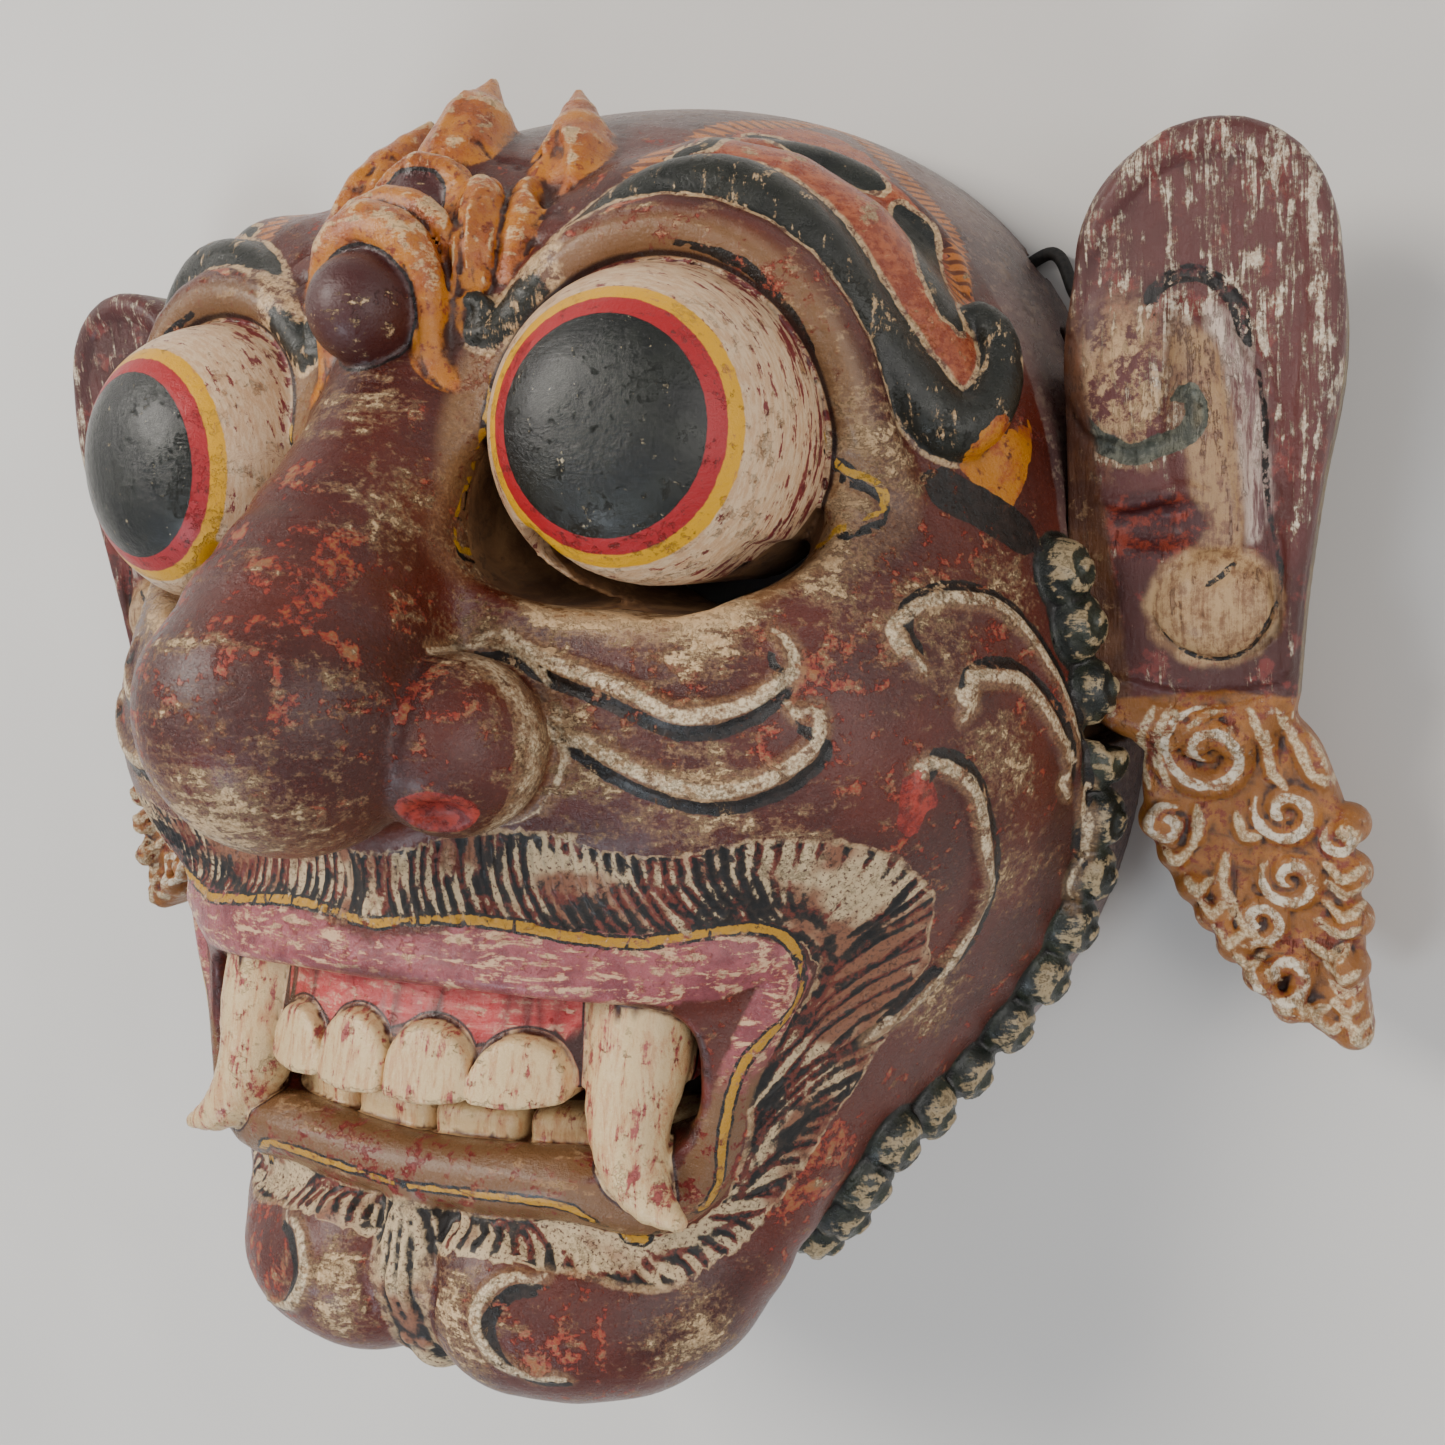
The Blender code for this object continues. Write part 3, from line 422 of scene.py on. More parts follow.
def brow_curl():
    """The tight spiral in which the brow ends beside the forehead boss."""
    (x, y, z), spread, thick = BROW_CURL
    turns = np.linspace(0, 1, 14)
    angle = np.radians(-50 - 400 * turns)
    radius = spread * (1 - 0.72 * turns)
    return tube(np.column_stack([x + radius * np.cos(angle), y + radius * np.sin(angle),
                                 np.full(14, z), thick * (1 - 0.3 * turns)]))


def boss_forms():
    """The big round boss of the forehead and the flatter one over it."""
    return ((ellipsoid((0, 67.5, 118.5), (11, 11, 11)), 0.8),
            (ellipsoid((0, 91, 97), (8.6, 7, 7.5)), 0.6))


def crest_forms():
    """Collars round the bosses, petals beside them, and a leaf over each and in the middle."""
    leaf = ((27, 83, 87, 5.5), (27.5, 94, 82, 9), (25.5, 105, 75.5, 7), (20.5, 118, 67, 1.3))
    return ((tube(curve(COLLAR, 18)), 1), (tube(curve(OUTER_COLLAR, 18)), 1),
            (tube(curve(UPPER_COLLAR, 9)), 0.8),
            (tube(((0, 101, 83, 10.5), (0, 111, 77, 8.4), (0, 123, 70, 1.4))), 3),
            (tube(curve(leaf, 7)), 2.5),
            (tube(curve(((19.5, 72, 107, 3), (18.5, 82, 105, 4.6), (16, 91, 98, 4.4)), 6)), 1.2),
            (tube(curve(((25, 73, 103, 2.8), (25, 82, 98.5, 4.4), (23.5, 91, 91, 4.4)), 6)), 1.2))


def carve_crest(mask):
    for form, blend in boss_forms() + crest_forms():
        mask.add(form, blend)


def carve_cheeks(mask):
    """Curling folds beside the nose and on the outside of each cheek."""
    mask.lines([NOSE_FOLD, CHEEK_FOLD], 3.0, 1.8)
    mask.lines([CHEEK_ARC, INNER_ARC, SWIRL], 3.2, 2.0)


def beard_grooves(count):
    """Grooves between short locks all round the lips, swept back at the corners."""
    inner = curve(BAND_INNER, 20 * count)
    outer = curve(BAND_OUTER, 20 * count)
    last = len(inner) - 1
    passed = np.append(0, np.cumsum(np.linalg.norm(np.diff(0.5 * (inner + outer), axis=0), axis=1)))
    even = (np.arange(count) + 0.5) / count * passed[-1]
    grooves = []
    for place in np.interp(even, passed, np.linspace(0, 1, last + 1)):
        sweep = 0.035 * math.sin(math.pi * min(1.0, place * 1.3))
        start = inner[int(place * last)]
        end = outer[int(max(0.0, place - sweep) * last)]
        middle = 0.5 * (start + end) + 0.10 * np.array([start[1] - end[1], end[0] - start[0], 0])
        grooves.append((start, middle, end))
    return grooves


def carve_beard(mask, count):
    mask.lines(beard_grooves(count), 1.15, -2.1, count=5)


def carve_jaw_curls(mask, head):
    """A row of round curls from the temple down to the chin."""
    for centre in head.settle(curve(JAW_CURLS, 15)):
        mask.add(ellipsoid(centre, (CURL_RADIUS,) * 3), 1.0)


def hollow_out(mask):
    """The hollow behind the face, the open mouth and the sight slits under the eyes."""
    wall = WALL / UNIT
    round_sockets = socket(wall)[0]

    def hollow(p):
        return keep(inside_distance(p) + wall, -round_sockets(p), 6.0)

    mask.cut((hollow,) + EVERYWHERE, 2.0)
    mask.cut(block((0, -85, 90), (64, 17, 40), 4.0), 3)
    mask.cut(sight_slit(), 1.0)


def inside_distance(p):
    """The distance to the head as the hollow follows it, without its swellings."""
    inside = Carving()
    inside.add(block((0, 3, -4), (123, 122.5, 119), 2.5), 0)
    inside.add(ellipsoid((0, -22, -4), (127, 133, 126)), 26)
    inside.add(ellipsoid((0, -76, 36), (80, 72, 80)), 26)
    return inside.distance(p, *EVERYWHERE, 0.0)


def sight_slit():
    """A crescent hole between the eyeball and the lower edge of the socket."""
    route = curve(((40, 20), (48, 12.5), (59, 8.5), (70, 9.5), (79, 16)), 9)
    outline = np.column_stack([route, np.full(9, 85.0), np.full(9, 0.5 * SIGHT_SLIT / UNIT)])
    flat = tube(outline)[0]

    def distance(p):
        across = flat((p[0], p[1], np.full_like(p[0], 85.0)))
        return np.maximum(across, np.abs(p[2] - 85.0) - 45.0)

    return distance, np.array([34.0, 2.0, 40.0]), np.array([86.0, 26.0, 130.0])


def teeth_face(p):
    """How far a point stands out from the bowed front of the upper teeth."""
    flare = TEETH_FLARE * np.maximum(p[1] + 92.0, 0)
    return p[2] - (TEETH_FRONT - TEETH_BOW * p[0] * p[0] - flare)


def upper_tooth(middle, half_width, arch):
    """A flat tile with a round top that flares forward to its lower edge."""
    def distance(p):
        across = (p[0] - middle) / half_width
        side = np.hypot(p[0] - middle, np.maximum(p[1] - arch, 0)) - half_width
        face = teeth_face(p) - 0.9 * (1 - across * across)
        shape = keep(keep(side, face, 1.3), -92.0 - p[1] + 0.8 * (across * across), 1.6)
        return np.maximum(shape, -16.0 - face)

    reach = half_width + 1
    return (distance, np.array([middle - reach, -93.0, 92.0]),
            np.array([middle + reach, -68.0, TEETH_FRONT + 3]))


def gum_form():
    """The hollowed gum between the lip and the upper teeth."""
    def distance(p):
        level = np.abs(p[1] + 75.5) - 13.5
        face = teeth_face(p) + 3.0
        return np.maximum(np.maximum(level, p[0] - 60.0), np.maximum(face, -19.0 - face))

    return distance, np.array([-1.0, -89.0, 74.0]), np.array([60.0, -62.0, TEETH_FRONT])


def tooth_forms():
    """The upper teeth, the lower ones and the wide root of the fang."""
    forms = [upper_tooth(*tooth) for tooth in UPPER_TEETH]
    top = -92.0 - TOOTH_GAP / UNIT
    for middle, half in LOWER_TEETH:
        front = 106.5 - 0.0046 * middle * middle
        turn = turn_about("y", 0.55 * middle)
        forms.append(block((middle, top - 6.5, front), (half, 6.5, 8), 5.0, turn))
    return forms


def carve_teeth(mask):
    """Gums and upper teeth behind the upper lip, lower teeth, and a long fang each side."""
    mask.add(gum_form(), 1.5)
    mask.add(tube(((0, -72, 104, 9), (26, -72, 101, 9), (50, -72, 92, 9))), 2)
    for form in tooth_forms():
        mask.add(form, 0.5)
    mask.add(tube(curve(FANG, 12)), 0.8)


def seat_the_ears(mask):
    """A flat seat on each side of the head for an ear's root."""
    def distance(p):
        side = EAR_SEAT_X - p[0]
        ends = np.abs(p[1] - 18.0) - 46.0
        return np.maximum(np.maximum(side, ends), p[2] - EAR_ROOT_FRONT)

    mask.cut((distance, np.array([110.0, -30.0, -10.0]), np.array([140.0, 66.0, 50.0])))


def ear_shape():
    """An ear's blade with its root, and the pendant that hangs from its lobe."""
    half = 0.5 * EAR_THICKNESS / UNIT
    ear = Carving()
    outline = ((148.5, 72, 25), (149, 52, 26), (149, 30, 22.5), (151, 6, 17.5), (152, -14, 15))
    ear.add(blade(curve(outline, 25), 33.0, EAR_LEAN, half, 5.0), 0)
    root = ((127, 42, 15), (130, 18, 15), (137, -12, 14))
    ear.add(blade(curve(root, 9), 22.0, 0.02, 20.0, 5.0), 7)
    pendant = ((154, -36, 19), (158, -48, 19), (165, -64, 14.5), (171, -77, 9.5), (178, -88.5, 4.2))
    ear.add(blade(curve(pendant, 17), 30.0, EAR_LEAN, 0.85 * half, 4.0), 3)
    gap = EAR_GAP / UNIT

    def beyond_seat(p):
        return EAR_SEAT_X + gap - p[0]

    ear.keep((beyond_seat,) + EVERYWHERE)
    ear.keep((lambda p: -p[2],) + EVERYWHERE)
    return ear


def pierce_for_thongs(mask):
    """A hole through the wall over each temple and a notch in the rim beyond it."""
    radius = (0.5 * THONG_DIAMETER + THONG_CLEARANCE) / UNIT
    for place, out in thong_places():
        inner = place - out * 2 * WALL / UNIT
        mask.cut(tube((np.append(inner, radius), np.append(place + out * 8, radius))), 0.5)


def thong_places():
    """Where the hole and the notch meet the outside of the head, and the way out there."""
    head = head_shape()
    hole = np.array([112.0, 60.0, 14.0])
    notch = hole + np.array([-0.32, 0.92, 0.0]) * THONG_SPAN / UNIT
    notch[2] = 0.5 * THONG_DIAMETER / UNIT + 0.9
    places = head.settle([hole, notch])
    places[:, 2] = hole[2], notch[2]
    ways = []
    for place in places:
        probe = np.eye(3) * 0.5
        slope = np.array([head.at([place + s])[0] - head.at([place - s])[0] for s in probe])
        slope[2] = 0
        ways.append((place, slope / np.linalg.norm(slope)))
    return ways


def thong_path(samples=26):
    """A closed loop out of the hole, along the head and back in through the notch."""
    radius = 0.5 * THONG_DIAMETER / UNIT
    (hole, hole_out), (notch, notch_out) = thong_places()
    proud, behind = radius + 1.9, WALL / UNIT + radius + 3.2
    middle = 0.5 * (hole + notch)
    middle_out = 0.5 * (hole_out + notch_out)
    loop = [hole + hole_out * proud, middle + middle_out * (proud + 1.8),
            notch + notch_out * proud, notch - notch_out * behind,
            middle - middle_out * behind, hole - hole_out * behind]
    path = curve([loop[-1]] + loop + loop[:2], 8 * 12 + 1)
    closed = path[12:12 * 7]
    pick = np.linspace(0, len(closed) - 1, samples + 1)[:-1].round().astype(int)
    return closed[pick]


# From a form to a mesh

def sample_form(carving, low, high, step):
    """The form's distance on a regular grid, worked out exactly near its surface."""
    axes = [np.arange(low[i], high[i] + step, step, dtype=np.float32) for i in range(3)]
    grid = np.full([len(a) for a in axes], 9.0, np.float32)

    def fill(start):
        cells = tuple(slice(s * BLOCK, (s + 1) * BLOCK) for s in start)
        grid[cells] = sample_block(carving, [a[c] for a, c in zip(axes, cells)], step)

    with ThreadPoolExecutor(4) as workers:
        list(workers.map(fill, np.ndindex(*[-(-len(a) // BLOCK) for a in axes])))
    return grid


def sample_block(carving, axes, step, coarse=4, margin=6.0):
    low = np.array([a[0] for a in axes], float)
    high = np.array([a[-1] for a in axes], float)
    cell = coarse * step
    middles = np.meshgrid(*[a[::coarse] + 0.5 * (coarse - 1) * step for a in axes],
                          indexing="ij")
    rough = carving.distance(tuple(m.ravel() for m in middles), low, high, margin + 2 * cell)
    rough = rough.reshape(middles[0].shape)
    size = tuple(slice(0, len(a)) for a in axes)
    values = np.repeat(np.repeat(np.repeat(rough, coarse, 0), coarse, 1), coarse, 2)[size]
    near = np.argwhere(np.abs(values) < 1.3 * cell + 2 * step)
    if len(near):
        points = tuple(axes[i][near[:, i]] for i in range(3))
        values[tuple(near.T)] = carving.distance(points, low, high, margin)
    return np.clip(values, -9, 9)


def fill_pinches(grid):
    """Where wood touches wood only across a corner, fill the crevice beside it."""
    for _ in range(12):
        found = 0
        for axis in range(3):
            side, other = [a for a in range(3) if a != axis]
            faces = [[slice(None)] * 3 for _ in range(4)]
            for face, (s, o) in zip(faces, ((0, 0), (1, 0), (1, 1), (0, 1))):
                face[side] = slice(s, grid.shape[side] - 1 + s)
                face[other] = slice(o, grid.shape[other] - 1 + o)
            a, b, c, d = [grid[tuple(face)] < 0 for face in faces]
            for pair, empty in (((a, c), (1, 3)), ((b, d), (0, 2))):
                rest = (b, d) if empty == (1, 3) else (a, c)
                pinch = np.argwhere(pair[0] & pair[1] & ~rest[0] & ~rest[1])
                found += len(pinch)
                start = [f.start or 0 for f in faces[empty[0]]]
                grid[tuple((pinch + start).T)] = -0.02
        if not found:
            break


def surface_of(grid, low, step):
    """Surface nets: one corner in each cell that the surface crosses, joined by quads."""
    inside = grid < 0
    quads = []
    for axis in range(3):
        before, after = [slice(None)] * 3, [slice(None)] * 3
        before[axis], after[axis] = slice(0, -1), slice(1, None)
        crossing = np.argwhere(inside[tuple(before)] != inside[tuple(after)])
        side, other = (axis + 1) % 3, (axis + 2) % 3
        leaving = inside[tuple(crossing.T)]
        ring = []
        for back_side, back_other in ((1, 1), (0, 1), (0, 0), (1, 0)):
            corner = crossing.copy()
            corner[:, side] -= back_side
            corner[:, other] -= back_other
            ring.append(np.ravel_multi_index(corner.T, grid.shape))
        ring = np.stack(ring, 1)
        ring[~leaving] = ring[~leaving][:, ::-1]
        quads.append(ring)
    cells, faces = np.unique(np.vstack(quads), return_inverse=True)
    base = np.stack(np.unravel_index(cells, grid.shape), 1)
    total, count = np.zeros((len(cells), 3)), np.zeros(len(cells))
    for a in np.ndindex(2, 2, 2):
        for axis in np.flatnonzero(np.array(a) == 0):
            b = np.array(a)
            b[axis] = 1
            from_a = grid[tuple((base + a).T)].astype(float)
            from_b = grid[tuple((base + b).T)].astype(float)
            crossed = (from_a < 0) != (from_b < 0)
            share = from_a / np.where(crossed, from_a - from_b, 1)
            point = np.tile(np.array(a, float), (len(cells), 1))
            point[:, axis] += share
            total += point * crossed[:, None]
            count += crossed
    corners = (base + total / count[:, None]) * step + low
    return corners, faces.reshape(-1, 4)


# Fine carving that the solids leave out

def spiral(centre, across, up, radius, turns, start, shrink=0.8, count=22):
    """A flat spiral from the outside in, in the plane of across and up."""
    t = np.linspace(0, 1, count)
    r = radius * (1 - shrink * t)
    a = math.radians(start) + 2 * math.pi * turns * t
    return centre + np.outer(r * np.cos(a), across) + np.outer(r * np.sin(a), up), r


def tangents(outward, rough_up):
    across = np.cross(rough_up, outward)
    across = across / np.linalg.norm(across)
    return across, np.cross(outward, across)


def press_line(carving, path, half_width, height):
    """A raised line or a groove along points that already lie on the surface."""
    samples = np.column_stack([path, np.full(len(path), half_width)])
    low, high = path.min(0) - half_width, path.max(0) + half_width
    carving.steps.append(("line", 0.0, line_height(samples, height), low, high))


def slope_of(form, points, probe=0.6):
    slope = np.stack([form.at(points + s) - form.at(points - s) for s in np.eye(3) * probe], 1)
    return slope / np.linalg.norm(slope, axis=1, keepdims=True)


def carve_curl_spirals(mask, head):
    """A spiral groove on each curl of the jaw row."""
    centres = head.settle(curve(JAW_CURLS, 15))
    for centre, outward in zip(centres, slope_of(head, centres)):
        across, up = tangents(outward, np.array([0.3, 1.0, 0.2]))
        flat, radius = spiral(np.zeros(3), across, up, CURL_RADIUS * 0.86, 1.35, 200)
        rise = np.sqrt(np.maximum(CURL_RADIUS ** 2 - radius ** 2, 0))
        press_line(mask, centre + flat + np.outer(rise, outward), 1.25, -1.5)


def carve_crest_veins(mask):
    """The hollowed side leaf, the ribs of the petals and the small scales over them."""
    mask.lines([((27.5, 87, 94), (27.5, 96, 91), (25, 105, 83))], 4.2, -2.8, count=9)
    mask.lines([((0, 99, 95), (0, 110, 88), (0, 121, 78))], 1.3, 1.2, count=9)
    ribs = [((x, 70, 112), (x - 0.5, 80, 110), (x - 2, 91, 103))
            for x in (16.2, 18.8, 21.4, 24.0, 26.6)]
    mask.lines(ribs, 1.15, -2.6, count=9)
    scales = [((x - 2.6, y - 2.4, z), (x, y + 1.0, z), (x + 2.8, y - 2.0, z))
              for x, y, z in ((7, 103, 96), (12, 100, 98), (17, 98, 98), (21, 96, 98), (11, 107, 90),
                              (16, 105, 90), (20, 103, 90), (19, 110, 82), (32, 88, 88),
                              (33, 81, 92), (30, 76, 96))]
    mask.lines(scales, 1.1, -1.9, count=7)


def carve_collar_lines(mask):
    """A cream groove on each orange collar, and the ribs across the upper one."""
    inner = [(x, y, z + 4) for x, y, z, _ in COLLAR]
    upper = [(x, y, z + 3) for x, y, z, _ in UPPER_COLLAR]
    mask.lines([inner, upper], 0.9, -0.8, count=18)
    path = curve(UPPER_COLLAR, 16)[:, :3] + (0, 1.5, 3)
    ribs = []
    for before, here, after in zip(path[:-2], path[1:-1], path[2:]):
        way = (after - before) / np.linalg.norm(after - before)
        side = np.array([-way[1], way[0], 0.0]) * 3.2
        ribs.append((here - side, here, here + side))
    mask.lines(ribs, 0.7, -1.3, count=3)


def carve_tuft(mask):
    """Hanging strands and small beads on the tuft between the lobes of the chin."""
    strands = [((x, -119, 126), (1.3 * x, -131, 130), (1.2 * x, -143, 126)) for x in (0.0, 3.4, 6.8)]
    mask.lines(strands, 1.0, -1.6, count=9)
    for x, y, z in ((2.2, -148, 121), (6.5, -146, 121), (2.2, -154, 115), (6, -152, 117)):
        mask.add(ellipsoid((x, y, z), (2.6, 2.6, 2.6)), 0.5)


def carve_border_notches(mask, head):
    """Short hairs cut across the orange border over the brow."""
    path = curve(BORDER, 60)
    cuts = []
    for before, here, after in zip(path[:-2], path[1:-1], path[2:]):
        way = (after - before) / np.linalg.norm(after - before)
        side = np.array([-way[1], way[0], 0.0]) * 3.6
        lean = way * 1.2
        cuts.append((here - side - lean, here, here + side + lean))
    mask.lines(cuts, 0.62, -0.9, count=3, on=head)


def carve_eye_corner(mask):
    """The small swelling in the outer corner of the eye and the fold of the lid."""
    mask.add(ellipsoid((90, 25, 86), (6.5, 3.2, 4.5), turn_about("z", -20)), 2.0)
    fold = [(x, y + 2.5, z + r) for x, y, z, r in LID[1:-1]]
    mask.lines([fold], 1.0, -1.0, count=24)


def fine_mask():
    """The solids' face with the finest grooves cut last, before it is hollowed."""
    head = head_shape()
    mask = head_shape()
    carve_chin(mask)
    carve_tuft(mask)
    mask.add(ellipsoid((0, 72, 68), (26, 32, 36)), 16)
    carve_eyes(mask)
    carve_eye_corner(mask)
    carve_nose(mask)
    carve_mouth(mask)
    carve_brow(mask, head)
    carve_border_notches(mask, head)
    carve_crest(mask)
    carve_crest_veins(mask)
    carve_collar_lines(mask)
    carve_cheeks(mask)
    carve_beard(mask, BEARD_LOCKS)
    carve_jaw_curls(mask, head)
    carve_curl_spirals(mask, head)
    hollow_out(mask)
    carve_teeth(mask)
    seat_the_ears(mask)
    pierce_for_thongs(mask)
    mask.keep((lambda p: -p[2],) + EVERYWHERE)
    return mask


def carve_routes(form, routes):
    """Single lines, each with its half width, its height and its number of samples."""
    for route, half_width, height, count in routes:
        form.lines([route], half_width, height, count=count)


def fine_ear():
    """An ear with its helix, hollow, swell and bulb, and the scrolls of its pendant."""
    ear = ear_shape()
    ear.add(ellipsoid((134.5, 54, 43.5), (12, 17, 5.5)), 5)
    carve_routes(ear, ((EAR_CHANNEL, 8.5, -4.2, 20), (EAR_RIDGE, 5.0, 2.2, 18)))
    ear.cut(ellipsoid((140, 19.5, 46), (10.5, 5.5, 5)), 1.5)
    ear.lines([EAR_TRAGUS], 2.2, 1.6, count=10)
    ear.add(ellipsoid((151, 3, 41.5), (12.5, 11, 6.2)), 1.8)
    carve_routes(ear, ((EAR_RIM, 4.5, 2.4, 26), (EAR_HELIX, 1.7, -2.4, 40),
                       (EAR_CURVE, 2.2, -1.5, 18), (EAR_TICK, 1.2, -1.6, 6),
                       (EAR_NECK, 2.4, -2.2, 8)))
    for x, y, radius in PENDANT_LOBES:
        ear.add(ellipsoid((x, y, 29.5), (radius, radius, 6)), 1.0)
    routes = pendant_spirals()
    ear.lines(routes[:1], 3.4, 3.2, count=26)
    ear.lines(routes[1:], 2.5, 2.8, count=20)
    ear.lines(routes, 0.8, -1.2, count=20)
    ear.lines(PENDANT_LEAVES, 1.9, 2.4, count=8)
    ear.lines(pendant_scales(), 1.7, 2.2, count=6)
    for x, y in PENDANT_DOTS:
        ear.cut(ellipsoid((x, y, 40), (1.9, 1.9, 4)), 0.4)
    gap = EAR_GAP / UNIT
    ear.keep((lambda p: EAR_SEAT_X + gap - p[0],) + EVERYWHERE)
    return ear


def pendant_spirals():
    """The routes of the white scrolls, outer end first."""
    across, up = np.array([1.0, 0, 0]), np.array([0, 1.0, 0])
    return [spiral(np.array([x, y, 37.0]), across, up, radius, turns, start)[0]
            for x, y, radius, turns, start in PENDANT_SCROLLS]


def pendant_scales():
    """Small arcs one under another down both edges of the pendant."""
    routes = []
    for x, y, half in PENDANT_ARCS:
        routes.append(((x - half, y + 1.8, 36), (x, y - 1.4, 36), (x + half, y + 1.4, 36)))
    return routes


BEARD_LOCKS = 80
EAR_HELIX = ((140, 60, 45), (140, 65, 45), (144, 68, 46), (149, 68, 46), (153, 65, 45),
             (156, 61, 45), (157, 56, 45), (159, 51, 44), (160, 45, 44), (161, 39, 43),
             (161, 29, 43), (162, 19, 42), (164, 8, 41), (161.5, -1, 41), (157, -6.5, 40),
             (151, -8, 40), (144, -5, 40), (139.5, 1, 40))
EAR_CURVE = ((123, 47, 44), (127, 39, 43), (131, 36, 43), (136, 34, 43), (142, 36, 43),
             (146, 38, 43), (147.5, 42, 43), (146, 45.5, 44), (143, 44.5, 44))
EAR_CHANNEL = ((144, 61, 44), (148, 49, 43), (150, 38, 42), (151.5, 27, 41), (152, 19, 41),
               (150, 12, 40))
EAR_RIDGE = ((151, 61, 46), (155, 49, 45), (157, 38, 44), (157.5, 27, 43), (158.5, 17, 42))
EAR_TRAGUS = ((129, 25.5, 43), (135, 25, 43), (142, 26.5, 43), (149, 25.5, 43), (152, 20, 43))
EAR_TICK = ((150, 7, 47), (153, 9, 47), (156, 12, 47))
EAR_NECK = ((131, -12, 40), (141, -15.5, 40), (152, -16.5, 40), (164, -13.5, 40))
EAR_RIM = ((124, 60, 46), (127, 74, 47), (133, 85, 48), (143, 92.5, 48), (156, 93, 48),
           (166, 86, 48), (171, 72, 47), (172, 57, 46), (170, 42, 45), (168.5, 28, 43),
           (166.5, 8, 42), (165, -10, 40))
PENDANT_SCROLLS = ((150, -28, 10.5, 1.45, 80), (141, -44.5, 4.6, 1.2, 60), (165, -40.5, 6.8, 1.3, 150),
                   (166, -55, 6.2, 1.3, 150), (165, -76, 6.4, 1.3, 140), (160, -64.5, 5.0, 1.1, 240),
                   (175.5, -45.5, 3.6, 1.1, 140))
PENDANT_LEAVES = (((139.5, -18, 36), (136.2, -25, 36), (135.6, -31, 36), (137, -37, 36)),
                  ((143, -17.5, 36), (140, -24, 36), (139.6, -30, 36), (141.5, -37, 36)),
                  ((158, -18, 36), (161, -26, 36), (162, -32, 36), (165, -35.5, 36)),
                  ((163, -18, 36), (167, -26, 36), (169.5, -32, 36), (174, -34.5, 36)),
                  ((168, -20, 36), (172, -27, 35), (174.5, -33, 35)),
                  ((153, -50, 36), (152.5, -57, 36), (156, -65, 35), (162, -70, 35)),
                  ((147, -40, 36), (147.5, -45, 36), (146, -50, 36)),
                  ((155, -41, 36), (156.5, -46, 36), (160, -46, 36)))
PENDANT_DOTS = ((149, -50), (159.5, -50.5))
PENDANT_ARCS = ((176, -52.5, 4), (176.5, -56.5, 4), (176, -60.5, 4.2), (175, -65, 4.4),
                (173, -69.5, 4.5), (176, -74, 3.6), (176.5, -78, 3.4), (177, -82, 3.2),
                (179, -86, 2.8), (180, -89.5, 2.2), (143, -51, 3), (147.5, -57, 3), (150.5, -62, 3),
                (154, -68, 3), (158, -73, 3), (171, -83, 3), (173.5, -87, 2.6))
PENDANT_LOBES = ((139, -44, 5), (142.5, -51, 4.5), (146.5, -58, 4.5), (150.5, -64, 4.5),
                 (155, -70.5, 4.5), (160, -77, 4), (166, -83, 4), (176.5, -43, 4.5), (177, -53, 4.5),
                 (177.5, -63, 4.5), (177.5, -73, 4))


# Points seen in the photograph, cast onto the wood

def camera_axes():
    """The camera's right, up and backward directions."""
    back = np.array([math.sin(YAW) * math.cos(PITCH), math.sin(PITCH),
                     math.cos(YAW) * math.cos(PITCH)])
    level = np.array([math.cos(YAW), 0, -math.sin(YAW)])
    upright = np.cross(back, level)
    right = math.cos(ROLL) * level + math.sin(ROLL) * upright
    up = -math.sin(ROLL) * level + math.cos(ROLL) * upright
    return right, up, back


def cast(form, pixels, rounds=60):
    """Where the sight lines through these pixels first meet the form."""
    right, up, back = camera_axes()
    pixels = np.asarray(pixels, float)
    x = (pixels[:, 0] - 0.5 * PICTURE) / FOCAL
    y = (0.5 * PICTURE - pixels[:, 1]) / FOCAL
    rays = np.outer(x, right) + np.outer(y, up) - back
    rays /= np.linalg.norm(rays, axis=1, keepdims=True)
    along = np.full(len(pixels), 130.0)
    for _ in range(rounds):
        along += 0.75 * np.clip(form.at(EYE_POINT + along[:, None] * rays), -4, 15)
    return EYE_POINT + along[:, None] * rays


def cast_routes(form, routes):
    """Several routes of pixels cast together."""
    ends = np.cumsum([len(route) for route in routes])[:-1]
    return np.split(cast(form, np.vstack(routes)), ends)


def settle_routes(form, routes):
    """Several routes of points settled together."""
    ends = np.cumsum([len(route) for route in routes])[:-1]
    return np.split(form.settle(np.vstack([route[:, :3] for route in routes])), ends)


# Signed distances of painted lines and patches, at the corners of a mesh

def to_line(p, path, half_width=0.0):
    """Distance from points p to a path, less its half width, and the share along it."""
    best = np.full(len(p), 1e6)
    share = np.zeros(len(p))
    q = (p[:, 0], p[:, 1], p[:, 2])
    spans = len(path) - 1
    for i, (a, b) in enumerate(zip(path[:-1], path[1:])):
        t, d2 = along_segment(q, a, b)
        nearer = d2 < best
        best = np.where(nearer, d2, best)
        share = np.where(nearer, (i + t) / spans, share)
    ends = np.minimum(share, 1 - share)
    taper = np.minimum(1, 0.3 + 6 * ends)
    return np.sqrt(best) - half_width * taper, share


def in_outline(p, outline, axes=(0, 1)):
    """Distance to a closed outline, negative inside it when looked at along one axis."""
    closed = np.vstack([outline, outline[:1]])
    away, _ = to_line(p, closed)
    inside = np.zeros(len(p), bool)
    u, v = p[:, axes[0]], p[:, axes[1]]
    for a, b in zip(closed[:-1], closed[1:]):
        ua, va, ub, vb = a[axes[0]], a[axes[1]], b[axes[0]], b[axes[1]]
        crosses = (va > v) != (vb > v)
        where = ua + (v - va) * (ub - ua) / (vb - va if vb != va else 1e-9)
        inside ^= crosses & (u < where)
    return np.where(inside, -away, away)


def union(*fields):
    return np.minimum.reduce(fields)


